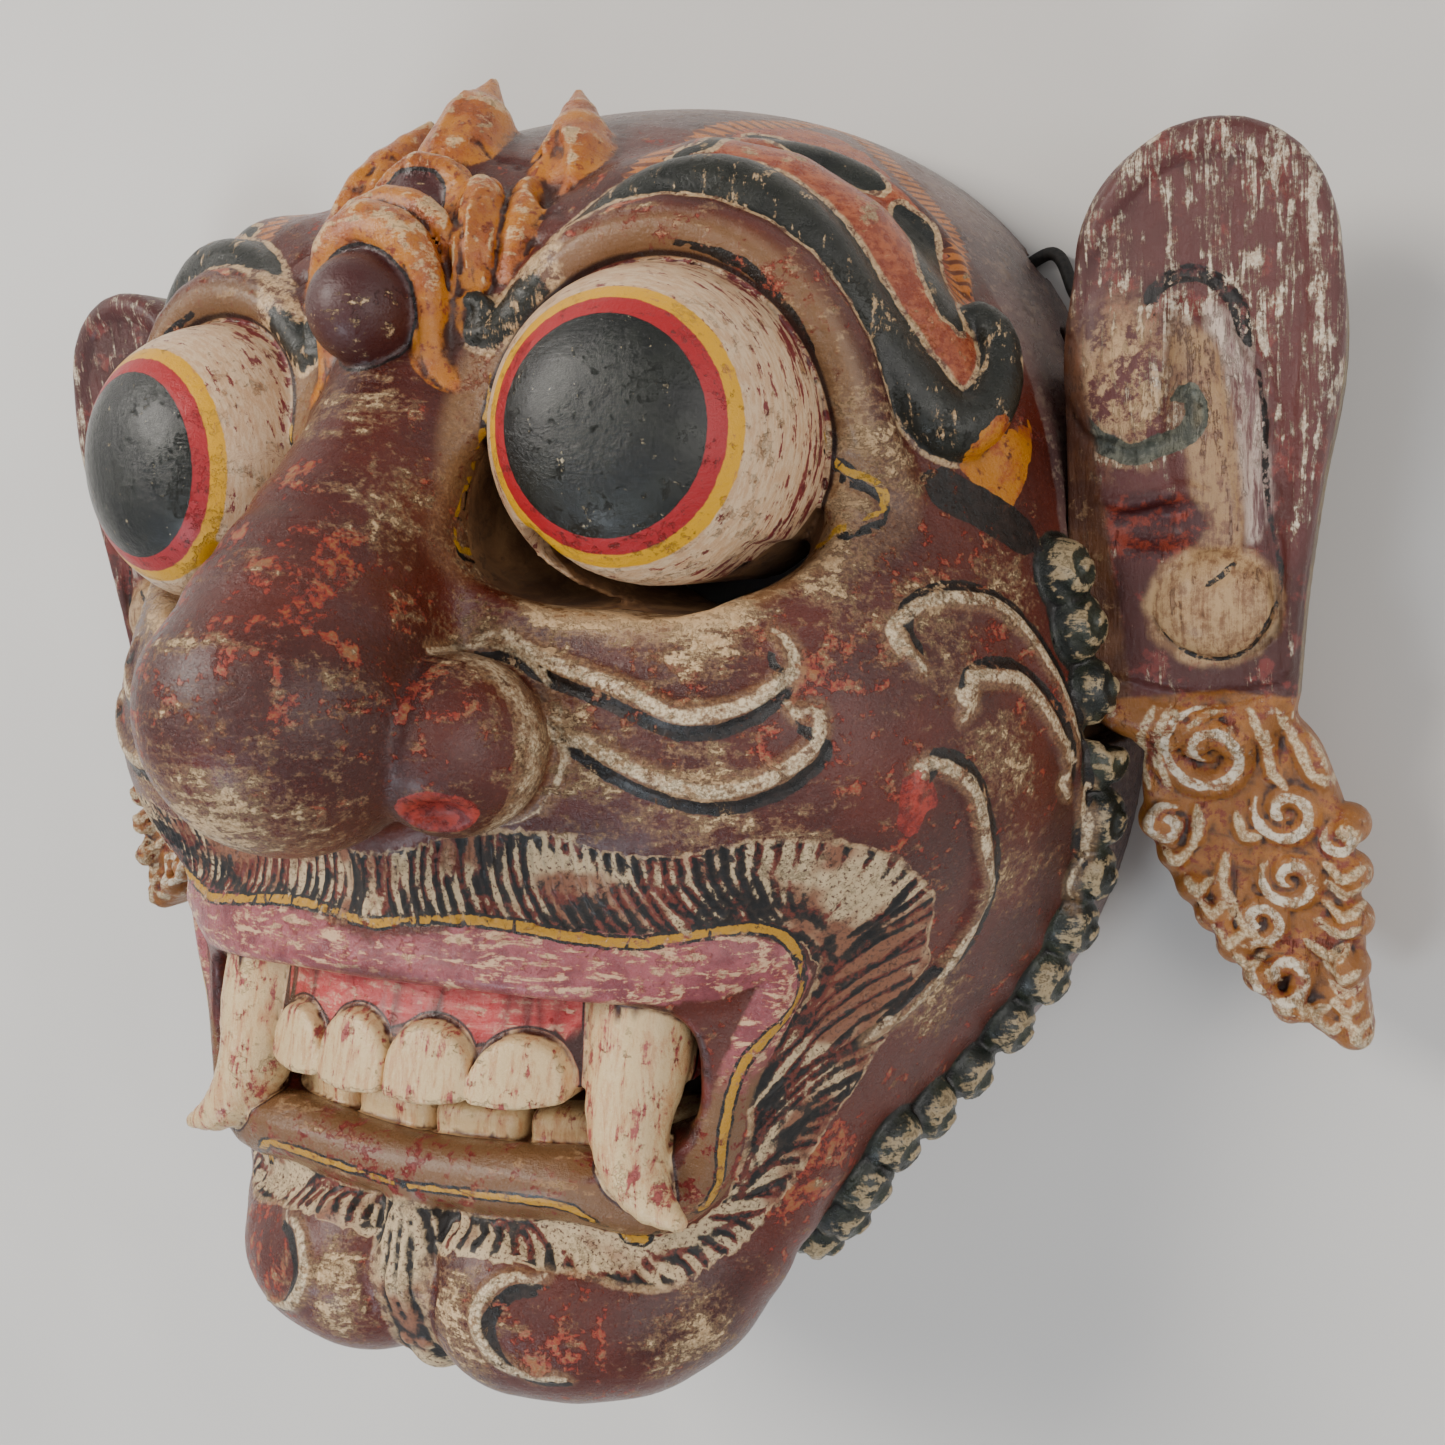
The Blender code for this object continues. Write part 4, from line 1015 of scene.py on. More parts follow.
def to_forms(p, *forms):
    """Distance from points p to the nearest of several forms."""
    return union(*[form[0]((p[:, 0], p[:, 1], p[:, 2])) for form in forms])


def to_lines(p, paths, half_width=0.0):
    return union(*[to_line(p, path, half_width)[0] for path in paths])


# Painted lines and patches, in pixels of the photograph
SOCKET_LINE = ((491, 370), (485, 420), (471, 474), (455, 525), (460, 549), (487, 553), (512, 561),
               (566, 590), (624, 609), (682, 602), (740, 590), (798, 561), (840, 528), (877, 515),
               (885, 499), (873, 480), (844, 470), (825, 441), (812, 387))
LID_LINE = ((666, 240), (740, 262), (782, 304), (807, 345), (815, 387), (823, 441), (848, 470),
            (877, 499))
LIP_LINE = ((158, 882), (216, 886), (282, 906), (357, 923), (423, 919), (485, 921), (568, 936),
            (630, 944), (662, 940), (724, 931), (766, 929), (791, 944), (803, 973), (795, 1006),
            (766, 1039), (741, 1068), (729, 1106), (722, 1147), (720, 1182), (700, 1210),
            (677, 1233), (646, 1240), (610, 1230), (574, 1210), (539, 1202), (457, 1192),
            (386, 1182), (304, 1151))
LEAF_ONE = ((628, 188), (652, 168), (680, 154), (708, 144), (732, 137))
LEAF_TWO = ((752, 136), (785, 140), (820, 150), (852, 167), (880, 186))
LEAF_THREE = ((900, 212), (918, 243), (935, 275), (950, 305), (958, 325))
BAND_OUTLINE = ((600, 215), (640, 180), (690, 150), (740, 128), (800, 128), (850, 142), (890, 178),
                (925, 215), (950, 260), (968, 310), (985, 370), (975, 410), (948, 420), (920, 395),
                (903, 350), (885, 300), (855, 258), (820, 222), (780, 195), (735, 182), (680, 186),
                (640, 200))
BORDER_LINE = ((618, 190), (664, 149), (719, 129), (782, 124), (842, 130), (884, 158), (920, 195),
               (948, 231), (963, 272), (970, 305))
SWIRL_PATCH = ((900, 800), (903, 780), (918, 770), (934, 784), (938, 806), (925, 812), (915, 838),
               (898, 830))
SIDEBURN = ((926, 480), (960, 497), (1000, 520), (1037, 546))
TEAR = ((958, 466), (985, 430), (1012, 405), (1030, 430), (1032, 455), (1022, 490), (1008, 515),
        (985, 500))

# Cracks down the flat root of the fang
FANG_CRACKS = (((41.5, -74, 117), (42.5, -80, 119)), ((55, -73, 113), (53.5, -83, 117)),
               ((59, -74, 110), (57.5, -86, 115)))


# Places where the paint is most worn or most red, as pixel, pixel and radius in pixels
WORN_PLACES = ((560, 615, 75), (700, 625, 70), (830, 560, 60), (930, 620, 55), (1010, 590, 45),
               (480, 640, 40), (470, 560, 40), (580, 760, 60), (700, 800, 60), (360, 410, 45),
               (400, 500, 45), (780, 860, 45), (880, 470, 50), (1000, 760, 50), (1010, 880, 50),
               (230, 830, 60), (930, 1000, 50), (460, 1330, 50), (700, 1330, 40), (300, 950, 60))
RED_PLACES = ((250, 660, 80), (310, 560, 60), (430, 720, 60), (690, 660, 60), (830, 670, 60),
              (900, 560, 50), (990, 640, 40), (620, 1310, 60), (560, 1350, 50), (940, 830, 50),
              (500, 430, 40), (470, 520, 40), (790, 1180, 50), (280, 480, 40), (1060, 700, 40))


def zones(p, middles, places):
    """How deep each corner lies in a set of round places seen in the photograph."""
    depth = np.zeros(len(p))
    for middle, (_, _, radius) in zip(middles, places):
        away2 = ((p - middle) ** 2).sum(1)
        depth = np.maximum(depth, np.exp(-away2 / (radius / 4.2) ** 2))
    return depth


# Meshes

def to_metres(points):
    return (np.asarray(points) + (0.0, CENTRE_Y, 0.0)) * UNIT


def new_piece(name, corners, faces, triangles):
    """A mesh piece from fine quads, thinned to about so many triangles."""
    mesh = bpy.data.meshes.new(name)
    mesh.vertices.add(len(corners))
    mesh.vertices.foreach_set("co", to_metres(corners).astype(np.float32).ravel())
    mesh.loops.add(faces.size)
    mesh.loops.foreach_set("vertex_index", faces.astype(np.int32).ravel())
    mesh.polygons.add(len(faces))
    mesh.polygons.foreach_set("loop_start", np.arange(0, faces.size, 4, dtype=np.int32))
    mesh.update(calc_edges=True)
    piece = bpy.data.objects.new(name, mesh)
    bpy.context.scene.collection.objects.link(piece)
    if 2 * len(faces) > triangles:
        reduce = piece.modifiers.new("Decimate", "DECIMATE")
        reduce.ratio = triangles / (2 * len(faces))
        shown = piece.evaluated_get(bpy.context.evaluated_depsgraph_get())
        thin = bpy.data.meshes.new_from_object(shown)
        piece.modifiers.clear()
        piece.data = thin
        bpy.data.meshes.remove(mesh)
    for corner in piece.data.vertices:
        if corner.co.z < 0.6 * SAMPLE_STEP * UNIT:
            corner.co.z = 0.0
    piece.data.shade_smooth()
    return piece


def corners_of(piece):
    """The corners in pattern units."""
    flat = np.zeros(3 * len(piece.data.vertices), np.float32)
    piece.data.vertices.foreach_get("co", flat)
    return flat.reshape(-1, 3) / UNIT - (0.0, CENTRE_Y, 0.0)


def relief(piece, rounds):
    """How far each corner stands out from its smoothed surroundings, in pattern units."""
    mesh = piece.data
    points = corners_of(piece)
    ends = np.zeros(2 * len(mesh.edges), np.int32)
    mesh.edges.foreach_get("vertices", ends)
    a, b = ends.reshape(-1, 2).T
    count = np.bincount(a, minlength=len(points)) + np.bincount(b, minlength=len(points))
    smooth = points.copy()
    for _ in range(rounds):
        total = np.stack([np.bincount(a, smooth[b, i], len(points))
                          + np.bincount(b, smooth[a, i], len(points)) for i in range(3)], 1)
        smooth = 0.4 * smooth + 0.6 * total / np.maximum(count, 1)[:, None]
    normals = np.zeros(3 * len(points), np.float32)
    mesh.vertices.foreach_get("normal", normals)
    return ((points - smooth) * normals.reshape(-1, 3)).sum(1)


def store(piece, **fields):
    """Keep each group of up to three fields as one vector on the corners."""
    for name, group in fields.items():
        values = np.zeros((len(group[0]), 3), np.float32)
        for i, field in enumerate(group):
            values[:, i] = field
        layer = piece.data.attributes.new(name, "FLOAT_VECTOR", "POINT")
        layer.data.foreach_set("vector", values.ravel())


def make_mask():
    form = fine_mask()
    low = np.array([0.0, -182.0, -2.5 * SAMPLE_STEP])
    half = sample_form(form, low, (136.0, 150.0, 182.0), SAMPLE_STEP)
    grid = np.concatenate([half[:0:-1], half])
    fill_pinches(grid)
    low[0] = -SAMPLE_STEP * (len(half) - 1)
    corners, faces = surface_of(grid, low, SAMPLE_STEP)
    mask = new_piece("carved_mask", corners, faces, MASK_TRIANGLES)
    paint_mask(mask, form)
    return mask


def make_ears():
    form = fine_ear()
    low = np.array([104.0, -108.0, -2.5 * SAMPLE_STEP])
    grid = sample_form(form, low, (188.0, 110.0, 62.0), SAMPLE_STEP)
    fill_pinches(grid)
    corners, faces = surface_of(grid, low, SAMPLE_STEP)
    near = new_piece("carved_ear_left", corners, faces, EAR_TRIANGLES)
    paint_ear(near)
    far = near.copy()
    far.data = near.data.copy()
    far.name = far.data.name = "carved_ear_right"
    far.data.transform(Matrix.Scale(-1, 4, (1, 0, 0)))
    far.data.flip_normals()
    bpy.context.scene.collection.objects.link(far)
    return near, far


def paint_mask(mask, form):
    """Work out every painted line and patch of the face on its corners."""
    p = corners_of(mask)
    p[:, 0] = np.abs(p[:, 0])
    front = p[:, 2]
    eye = np.array(EYE_CENTRE)
    gaze = np.array(GAZE) / np.linalg.norm(GAZE)
    along = (p - eye) @ gaze
    across = p - eye - np.outer(along, gaze)
    rho = np.linalg.norm(across, axis=1)
    angle = np.arctan2(across[:, 1], across[:, 0])
    ball = to_forms(p, barrel(EYE_CENTRE, GAZE, EYE_RADIUS, EYE_HALF_LENGTH, EYE_SQUARENESS))
    ball = np.where(along > -6, ball, 9.0)
    rho = np.where(along > 0, rho, 60.0)

    pixels = [SOCKET_LINE, LID_LINE, LIP_LINE, LEAF_ONE, LEAF_TWO, LEAF_THREE, BAND_OUTLINE,
              BORDER_LINE, SWIRL_PATCH, SIDEBURN, TEAR, [w[:2] for w in WORN_PLACES],
              [r[:2] for r in RED_PLACES]]
    (socket_line, lid_line, lip_line, leaf_one, leaf_two, leaf_three, band_outline, border_line,
     swirl_patch, sideburn, tear, worn, red_places) = cast_routes(form, pixels)
    folds = [NOSE_FOLD, CHEEK_FOLD, CHEEK_ARC, INNER_ARC, SWIRL, LOBE_ARC]
    shifts = [(0, -3.3, 0), (0, -3.5, 0), (1.6, 3.2, 0), (1.6, 3.0, 0), (2.6, 2.2, 0),
              (3.0, -2.2, 0)]
    routes = [curve(fold, 22) for fold in folds]
    routes += [route + shift for route, shift in zip(routes, shifts)]
    routes += [curve(groove, 5) for groove in beard_grooves(BEARD_LOCKS)]
    settled = settle_routes(form, routes)
    near_beard = (front > 50) & (p[:, 1] < -30) & (p[:, 1] > -136)
    lock = np.full(len(p), 9.0)
    lock[near_beard] = to_lines(p[near_beard], settled[2 * len(folds):])

    teeth = to_forms(p, tube(curve(FANG, 12)), *tooth_forms())
    gum = to_forms(p, gum_form())
    mouth = to_forms(p, block((0, -86, 128), (72, 23, 34), 3.2))
    lip = np.full(len(p), 99.0)
    for form_of_lip, blend in lip_forms():
        lip = join(lip, to_forms(p, form_of_lip), blend)
    band = in_outline(p, np.vstack([curve(BAND_INNER, 50), curve(BAND_OUTER, 50)[::-1]]))
    tuft = to_forms(p, tube(((0, -118, 115, 9), (0, -134, 119, 9.5), (0, -156, 113, 8)))) - 0.8
    band = np.where(front > 55, np.minimum(band, tuft), 20.0)
    brow_path = curve(BROW, 44)
    brow = to_forms(p, tube(brow_path), brow_curl())
    brow_side = side_of(p, brow_path)
    flat_band = np.where(front > 40, in_outline(p, band_outline), 20.0)
    leaves = union(to_lines(p, [curve(leaf_one, 12)], 1.5), to_lines(p, [curve(leaf_two, 14)], 4.2),
                   to_lines(p, [curve(leaf_three, 14)], 5.2))
    border, notch = to_line(p, curve(border_line, 30))

    crest = to_forms(p, *[form for form, _ in crest_forms()])
    bosses = to_forms(p, *[form for form, _ in boss_forms()])
    head = head_shape()
    curls = to_forms(p, *[ellipsoid(c, (CURL_RADIUS,) * 3) for c in head.settle(curve(JAW_CURLS, 15))])

    wing = np.array([28.0, -17.0, 133.0])
    ring = np.abs(np.linalg.norm((p - wing)[:, :2], axis=1) - 18.0) - 0.45
    ring = np.where((np.abs(front - 126) < 12) & (p[:, 1] > -34), ring, 9.0)
    pale_lines = union(to_lines(p, settled[:len(folds)], 1.15), ring)
    dark_lines = union(to_lines(p, settled[len(folds):2 * len(folds)], 1.25),
                       to_lines(p, [curve(lid_line, 24)], 1.0),
                       to_lines(p, [curve(sideburn, 10)], 4.2))
    cracks = to_lines(p, np.array(FANG_CRACKS), 0.7)
    socket_path = curve(socket_line, 60)
    socket_gold = to_lines(p, [socket_path], 0.85)
    socket_dark = to_lines(p, [socket_path + (0, -2.0, 0)], 1.0)
    lip_gold = to_lines(p, [curve(lip_line, 80)], 0.8)
    tear = np.where(front > 25, in_outline(p, tear), 20.0)
    nostril = to_forms(p, ellipsoid((34, -29, 150), (10.5, 6, 10.5)))
    red = union(in_outline(p, swirl_patch), nostril + 0.3)

    rim_route = np.array([(0, 112, 66), (30, 112, 66), (52, 108, 68), (75, 108, 58),
                          (95, 96, 50), (106, 78, 48), (112, 60, 46), (116, 35, 46)]
                         + [(x, y, z) for x, y, z in JAW_CURLS] + [(40, -150, 52), (0, -150, 50)])
    rim_band = front - nearest_height(p, head.settle(curve(rim_route, 90)))
    raw = np.where(front < 0.5, -1.0, inside_distance(tuple(p.T)) + 0.55 * WALL / UNIT)

    fine, broad = relief(mask, 6), relief(mask, 40)
    store(mask,
          eye_fields=(ball, rho, along),
          side_fields=(brow_side, angle, cracks),
          lock_fields=(lock, tuft, front),
          mouth_fields=(teeth, gum, lip),
          beard_fields=(band, lip_gold, mouth),
          brow_fields=(brow, flat_band, leaves),
          border_fields=(border, notch, tear),
          crest_fields=(crest, bosses, curls),
          line_fields=(pale_lines, dark_lines, socket_gold),
          edge_fields=(socket_dark, red, rim_band),
          relief_fields=(fine, broad, raw),
          zone_fields=(zones(p, worn, WORN_PLACES), zones(p, red_places, RED_PLACES), front))


def side_of(p, path):
    """How far a point lies outward of the nearest point of the brow, seen from the eye."""
    best = np.full(len(p), 1e9)
    side = np.zeros(len(p))
    reach = np.hypot(p[:, 0] - EYE_CENTRE[0], p[:, 1] - EYE_CENTRE[1])
    for x, y, z, _ in path:
        d = (p[:, 0] - x) ** 2 + (p[:, 1] - y) ** 2 + (p[:, 2] - z) ** 2
        nearer = d < best
        best = np.where(nearer, d, best)
        side = np.where(nearer, reach - math.hypot(x - EYE_CENTRE[0], y - EYE_CENTRE[1]), side)
    return side


def nearest_height(p, path):
    """Height of the nearest point of a path, looked at along its own way round the head."""
    best = np.full(len(p), 1e9)
    height = np.zeros(len(p))
    for point in path:
        d = (p[:, 0] - point[0]) ** 2 + (p[:, 1] - point[1]) ** 2 + 0.25 * (p[:, 2] - point[2]) ** 2
        nearer = d < best
        best = np.where(nearer, d, best)
        height = np.where(nearer, point[2], height)
    return height


def paint_ear(ear):
    """The painted lines and patches of an ear and its pendant."""
    p = corners_of(ear)
    flat = p * (1, 1, 0)

    def drawn(routes, half_width):
        """Distance to routes that are looked at along Z."""
        return to_lines(flat, [np.array(route) * (1, 1, 0) for route in routes], half_width)

    helix = curve(EAR_HELIX, 50)
    black = union(drawn([helix[:20]], 1.9), drawn([helix[19:]], 0.75), drawn([curve(EAR_TICK, 6)], 0.9))
    black = np.where(p[:, 2] > 30, black, 9.0)
    stroke = drawn([curve(EAR_CURVE, 24)], 2.4)
    channel = drawn([curve(EAR_CHANNEL, 20)], 6.5)
    crest = drawn([curve(EAR_RIDGE, 20)], 4.0)
    bulb = to_forms(p, ellipsoid((151, 3, 41.5), (12.5, 11.5, 9)))
    pendant = p[:, 1] + 14.5 + 0.10 * np.abs(p[:, 0] - 152)
    scrolls = drawn(pendant_spirals(), 1.25)
    arcs = drawn(pendant_scales() + list(PENDANT_LEAVES), 0.9)
    root = p[:, 0] - (127.5 + 0.13 * (40 - p[:, 1]))
    edge = p[:, 2] - (33.0 + EAR_LEAN * p[:, 1] + 4.6)
    tan_left = np.hypot(p[:, 0] - 134, (p[:, 1] - 47) / 1.6) - 9.5
    hollow = np.hypot((p[:, 0] - 139) / 1.2, (p[:, 1] - 19.5) / 0.8) - 7.5
    fine, broad = relief(ear, 5), relief(ear, 30)
    store(ear,
          ear_lines=(black, stroke, channel),
          ear_patches=(bulb, pendant, root),
          ear_more=(scrolls, edge, tan_left),
          ear_spots=(arcs, hollow, crest),
          relief_fields=(fine, broad, p[:, 1]))


# Paint

def linear(code):
    """A colour as six hexadecimal digits, in the linear values that shaders take."""
    shares = [int(code[i:i + 2], 16) / 255 for i in (0, 2, 4)]
    return [s / 12.92 if s <= 0.04045 else ((s + 0.055) / 1.055) ** 2.4 for s in shares] + [1.0]


COAT_ROUGHNESS = 0.22
PAINT_IOR = 1.5
CHIP_DEPTH = 0.0007     # depth of the bumps in worn paint, in metres

# How worn the paint is where each layer under it starts to show
RED_SHOWS, OCHRE_SHOWS = 0.568, 0.61
TAN_SHOWS, CREAM_SHOWS = 0.585, 0.628

# The rings of an eye, in pattern units from the line of its gaze
PUPIL_RADIUS, RED_RING, YELLOW_RING = 19.7, 22.7, 25.0


class Value:
    """A shader's number or colour, which takes part in sums and products."""

    def __init__(self, paint, socket):
        self.paint, self.socket = paint, socket

    def __add__(self, other):
        return self.paint.math("ADD", self, other)

    def __sub__(self, number):
        return self.paint.math("ADD", self, -number)

    def __mul__(self, other):
        return self.paint.math("MULTIPLY", self, other)


class Paint:
    """One material, built from noises, stored distances and coats of colour."""

    def __init__(self, name):
        self.material = bpy.data.materials.new(name)
        self.material.use_nodes = True
        self.tree = self.material.node_tree
        self.shader = self.tree.nodes["Principled BSDF"]
        self.place = Value(self, self.node("TexCoord").outputs["Object"])
        self.colour = None

    def node(self, kind, *values):
        """A new shader node whose first inputs take the values."""
        made = self.tree.nodes.new("ShaderNode" + kind)
        for socket, value in zip(made.inputs, values):
            self.put(socket, value)
        return made

    def put(self, socket, value):
        if isinstance(value, Value):
            self.tree.links.new(value.socket, socket)
        else:
            socket.default_value = value

    def split(self, vector):
        return [Value(self, part) for part in self.node("SeparateXYZ", vector).outputs]

    def join(self, *values):
        return Value(self, self.node("CombineXYZ", *values).outputs[0])

    def fields(self, name):
        """The three stored distances of one group."""
        found = self.node("Attribute")
        found.attribute_name = name
        return self.split(Value(self, found.outputs["Vector"]))

    def math(self, operation, *values):
        made = self.node("Math", *values)
        made.operation = operation
        return Value(self, made.outputs[0])

    def within(self, value, low, high):
        return self.math("MINIMUM", self.math("MAXIMUM", value, low), high)

    def noise(self, scale, detail, rough, stretch=(1, 1, 1), bend=0.0, shift=0.0, where=None):
        """Noise of about one cell in 1 / scale metres, stretched along an axis."""
        spread = self.node("Mapping")
        self.put(spread.inputs["Vector"], where or self.place)
        spread.inputs["Scale"].default_value = stretch
        spread.inputs["Location"].default_value = (shift, shift * 0.7, -shift)
        made = self.node("TexNoise", Value(self, spread.outputs[0]))
        for name, value in (("Scale", scale), ("Detail", detail), ("Roughness", rough),
                            ("Distortion", bend)):
            made.inputs[name].default_value = value
        return Value(self, made.outputs[0])

    def ramp(self, value, start, end):
        """A smooth step from 0 at start to 1 at end."""
        made = self.node("MapRange", value, start, end)
        made.interpolation_type = "SMOOTHSTEP"
        return Value(self, made.outputs[0])

    def below(self, value, edge, soft=0.12):
        """1 where the value is under the edge."""
        return self.ramp(value, edge + soft, edge - soft)

    def above(self, value, edge, soft=0.12):
        return self.ramp(value, edge - soft, edge + soft)

    def mix(self, share, a, b):
        """A colour between a and b, each a value or six hexadecimal digits."""
        made = self.node("Mix", share)
        made.data_type = "RGBA"
        for socket, colour in zip(made.inputs[6:8], (a, b)):
            self.put(socket, linear(colour) if isinstance(colour, str) else colour)
        return Value(self, made.outputs[2])

    def blend(self, share, a, b):
        """A number between a and b."""
        made = self.node("Mix", share)
        self.put(made.inputs[2], a)
        self.put(made.inputs[3], b)
        return Value(self, made.outputs[0])

    def coats(self, colour, *coats):
        """A colour with (share, colour) coats laid over it in turn."""
        for share, coat in coats:
            colour = self.mix(share, colour, coat)
        return colour

    def coat(self, share, colour):
        """Lay a coat over the whole finish so far."""
        self.colour = self.mix(share, self.colour, colour)

    def finish(self, roughness, height, depth, coat=0.0):
        self.put(self.shader.inputs["Base Color"], self.colour)
        self.put(self.shader.inputs["Roughness"], roughness)
        bump = self.node("Bump")
        self.put(bump.inputs["Height"], height)
        for node, name, value in ((self.shader, "Coat Weight", coat),
                                  (self.shader, "Coat Roughness", COAT_ROUGHNESS),
                                  (self.shader, "IOR", PAINT_IOR),
                                  (bump, "Distance", depth), (bump, "Strength", 1.0)):
            node.inputs[name].default_value = value
        self.put(self.shader.inputs["Normal"], Value(self, bump.outputs[0]))
        return self.material


def mask_paint():
    """The face: cream ground, vermilion, maroon topcoat, and every painted part over it."""
    m = Paint("mask_paint")
    ball, rho, along = m.fields("eye_fields")
    brow_side, angle, cracks = m.fields("side_fields")
    teeth, gum, lip = m.fields("mouth_fields")
    band, lip_gold, mouth = m.fields("beard_fields")
    brow, flat_band, leaves = m.fields("brow_fields")
    border, notch, tear = m.fields("border_fields")
    crest, bosses, curls = m.fields("crest_fields")
    pale_lines, dark_lines, socket_gold = m.fields("line_fields")
    socket_dark, red_patch, rim_band = m.fields("edge_fields")
    fine, broad, raw = m.fields("relief_fields")
    worn, red_zone, _ = m.fields("zone_fields")
    _, length, _ = m.split(m.place)

    big = m.noise(34, 3, 0.55)
    patch = m.noise(130, 6, 0.68, shift=3.1)
    fleck = m.noise(430, 6, 0.74, shift=5.7)
    speck = m.noise(1500, 4, 0.7, shift=1.3)
    streak = m.noise(430, 6, 0.74, stretch=(0.22, 1.25, 0.8), bend=0.4)
    streak_up = m.noise(430, 6, 0.74, stretch=(1.3, 0.24, 0.5), bend=0.3)
    jitter = (m.noise(330, 4, 0.65, shift=9.0) - 0.5) * 1.5

    def edge(field, at=0.0, soft=0.1):
        return m.below(field + jitter, at, soft)

    ridge = m.within(fine * 0.55, 0.0, 0.5)
    hollow = m.within(broad * -0.12, 0.0, 0.5)

    # How far the paint has gone: a share of patches, flecks, streaks and ridges
    loss = (patch * 0.24 + fleck * 0.34 + streak * 0.34 + speck * 0.08 + ridge * 0.3
            + worn * 0.105 + hollow * 0.1)
    red_loss = patch * 0.46 + fleck * 0.44 + big * 0.1 + red_zone * 0.055

    maroon = m.coats(m.mix(m.ramp(big, 0.38, 0.62), "431a12", "5c2418"),
                     (m.above(speck, 0.58, 0.05) * 0.4, "733522"))
    red = m.mix(m.ramp(fleck, 0.42, 0.6), "7d2519", "a5351f")
    ochre = m.mix(m.ramp(patch, 0.4, 0.6), "7d4520", "9c6233")
    cream = m.mix(m.ramp(speck, 0.35, 0.65), "b08c62", "dcbc90")
    tan = m.mix(m.ramp(speck, 0.38, 0.62), "6f523a", "a07c56")
    skin = m.coats(m.mix(m.above(red_loss, RED_SHOWS, 0.02) * 0.85, maroon, red),
                   (m.above(red_loss, OCHRE_SHOWS, 0.014) * 0.85, ochre),
                   (m.above(loss, TAN_SHOWS, 0.03) * 0.75, tan),
                   (m.above(loss, CREAM_SHOWS, 0.016), cream))
    m.colour = skin

    # The plain band outside the curls and the border
    plain = m.coats(m.mix(m.ramp(big, 0.4, 0.6), "513a39", "6d4f4a"),
                    (m.above(streak * 0.5 + fleck * 0.5, 0.545, 0.025) * 0.8, "8d7565"))
    m.coat(m.above(rim_band * -1.0 + jitter, 2.0, 0.5), plain)

    # The almond socket: tan wood with rubbed red
    in_socket = m.below(socket_gold, 7.0, 2.0) * m.above(along, -60.0, 1.0)
    floor = m.coats(m.mix(m.above(red_loss, 0.55, 0.03), "8d6a45", "8f3a25"),
                    (m.above(loss, 0.58, 0.03), "c3a075"))
    m.coat(m.below(rho, 44.0, 3.0) * m.below(ball, 9.0, 2.0) * 0.7, floor)
    m.coat(in_socket * 0.35, tan)

    # Brow, with the band, leaves and hairy border round it
    rust = m.coats(m.mix(m.above(fleck * 0.5 + streak * 0.5, 0.5, 0.06), "8a3a20", "b0603a"),
                   (m.above(loss, 0.6, 0.03), cream))
    m.coat(edge(flat_band), rust)
    cream_rim = m.mix(m.ramp(fleck, 0.42, 0.52), "6f4f3c", cream)
    m.coat(edge(leaves, 1.4), cream_rim)
    black = m.coats(m.mix(m.ramp(patch, 0.35, 0.65), "12150f", "22251d"),
                    (m.above(loss, 0.6, 0.03), cream))
    m.coat(edge(leaves, 0.0), black)
    hair = m.math("SINE", notch * 330.0)
    amber = m.coats(m.mix(m.ramp(hair, -0.7, 0.1), "6b3517", "bd6f2b"),
                    (m.above(loss, 0.61, 0.03), cream))
    frayed = border + hair * 0.9 + jitter * 0.6
    m.coat(m.below(frayed, 3.6, 0.15), amber)
    m.coat(edge(brow, 1.5, 0.3), cream_rim)
    # The cream flecks on the black brow are partly wear and partly painted highlight, gathered most
    # along its lower edge.
    lower = m.ramp(brow_side, 1.0, -5.5)
    brow_wear_and_highlight = streak_up * 0.52 + fleck * 0.34 + patch * 0.14 + lower * 0.085 + ridge * 0.03
    brow_black = m.coats(m.mix(m.ramp(patch, 0.35, 0.65), "15170f", "25261d"),
                         (m.above(brow_wear_and_highlight, 0.575, 0.018), cream))
    m.coat(edge(brow, 0.5), brow_black)
    drop = m.coats(m.mix(m.ramp(patch, 0.45, 0.6), "c07a1e", "a04a1f"),
                   (m.above(fleck, 0.6, 0.04), "7a3a1c"), (m.above(loss, 0.64, 0.02), cream))
    m.coat(edge(tear), drop)

    # Crest
    gold = m.coats(m.mix(m.ramp(patch, 0.42, 0.62), "bb7420", "a0521e"),
                   (m.above(fleck, 0.575, 0.03), "8a3d1c"),
                   # the dark brown in the crest's grooves is painted shade
                   (m.ramp(fine + (fleck - 0.5) * 0.6, -0.04, -0.3), "4a200d"),
                   (m.above(loss + ridge * 0.22, 0.615, 0.03), "dbb482"))
    m.coat(edge(crest, 1.0, 0.25), gold)
    m.coat(edge(bosses, 1.6) * m.above(bosses, 0.7, 0.2), "1f120e")
    knob = m.coats(m.mix(m.above(red_loss, 0.6, 0.02), "48201d", "7a2a1c"),
                   (m.above(loss, 0.625, 0.02), cream))
    m.coat(edge(bosses, 0.9), knob)

    # Jaw curls
    green = m.coats(m.mix(m.ramp(patch, 0.4, 0.6), "1b201a", "34392b"),
                    # the near black in the spiral grooves is painted shade
                    (m.ramp(fine, -0.1, -0.5), "100f0c"),
                    (m.above(loss + ridge * 0.24, 0.605, 0.03), "b09a74"))
    m.coat(edge(curls, 1.6, 0.3), green)

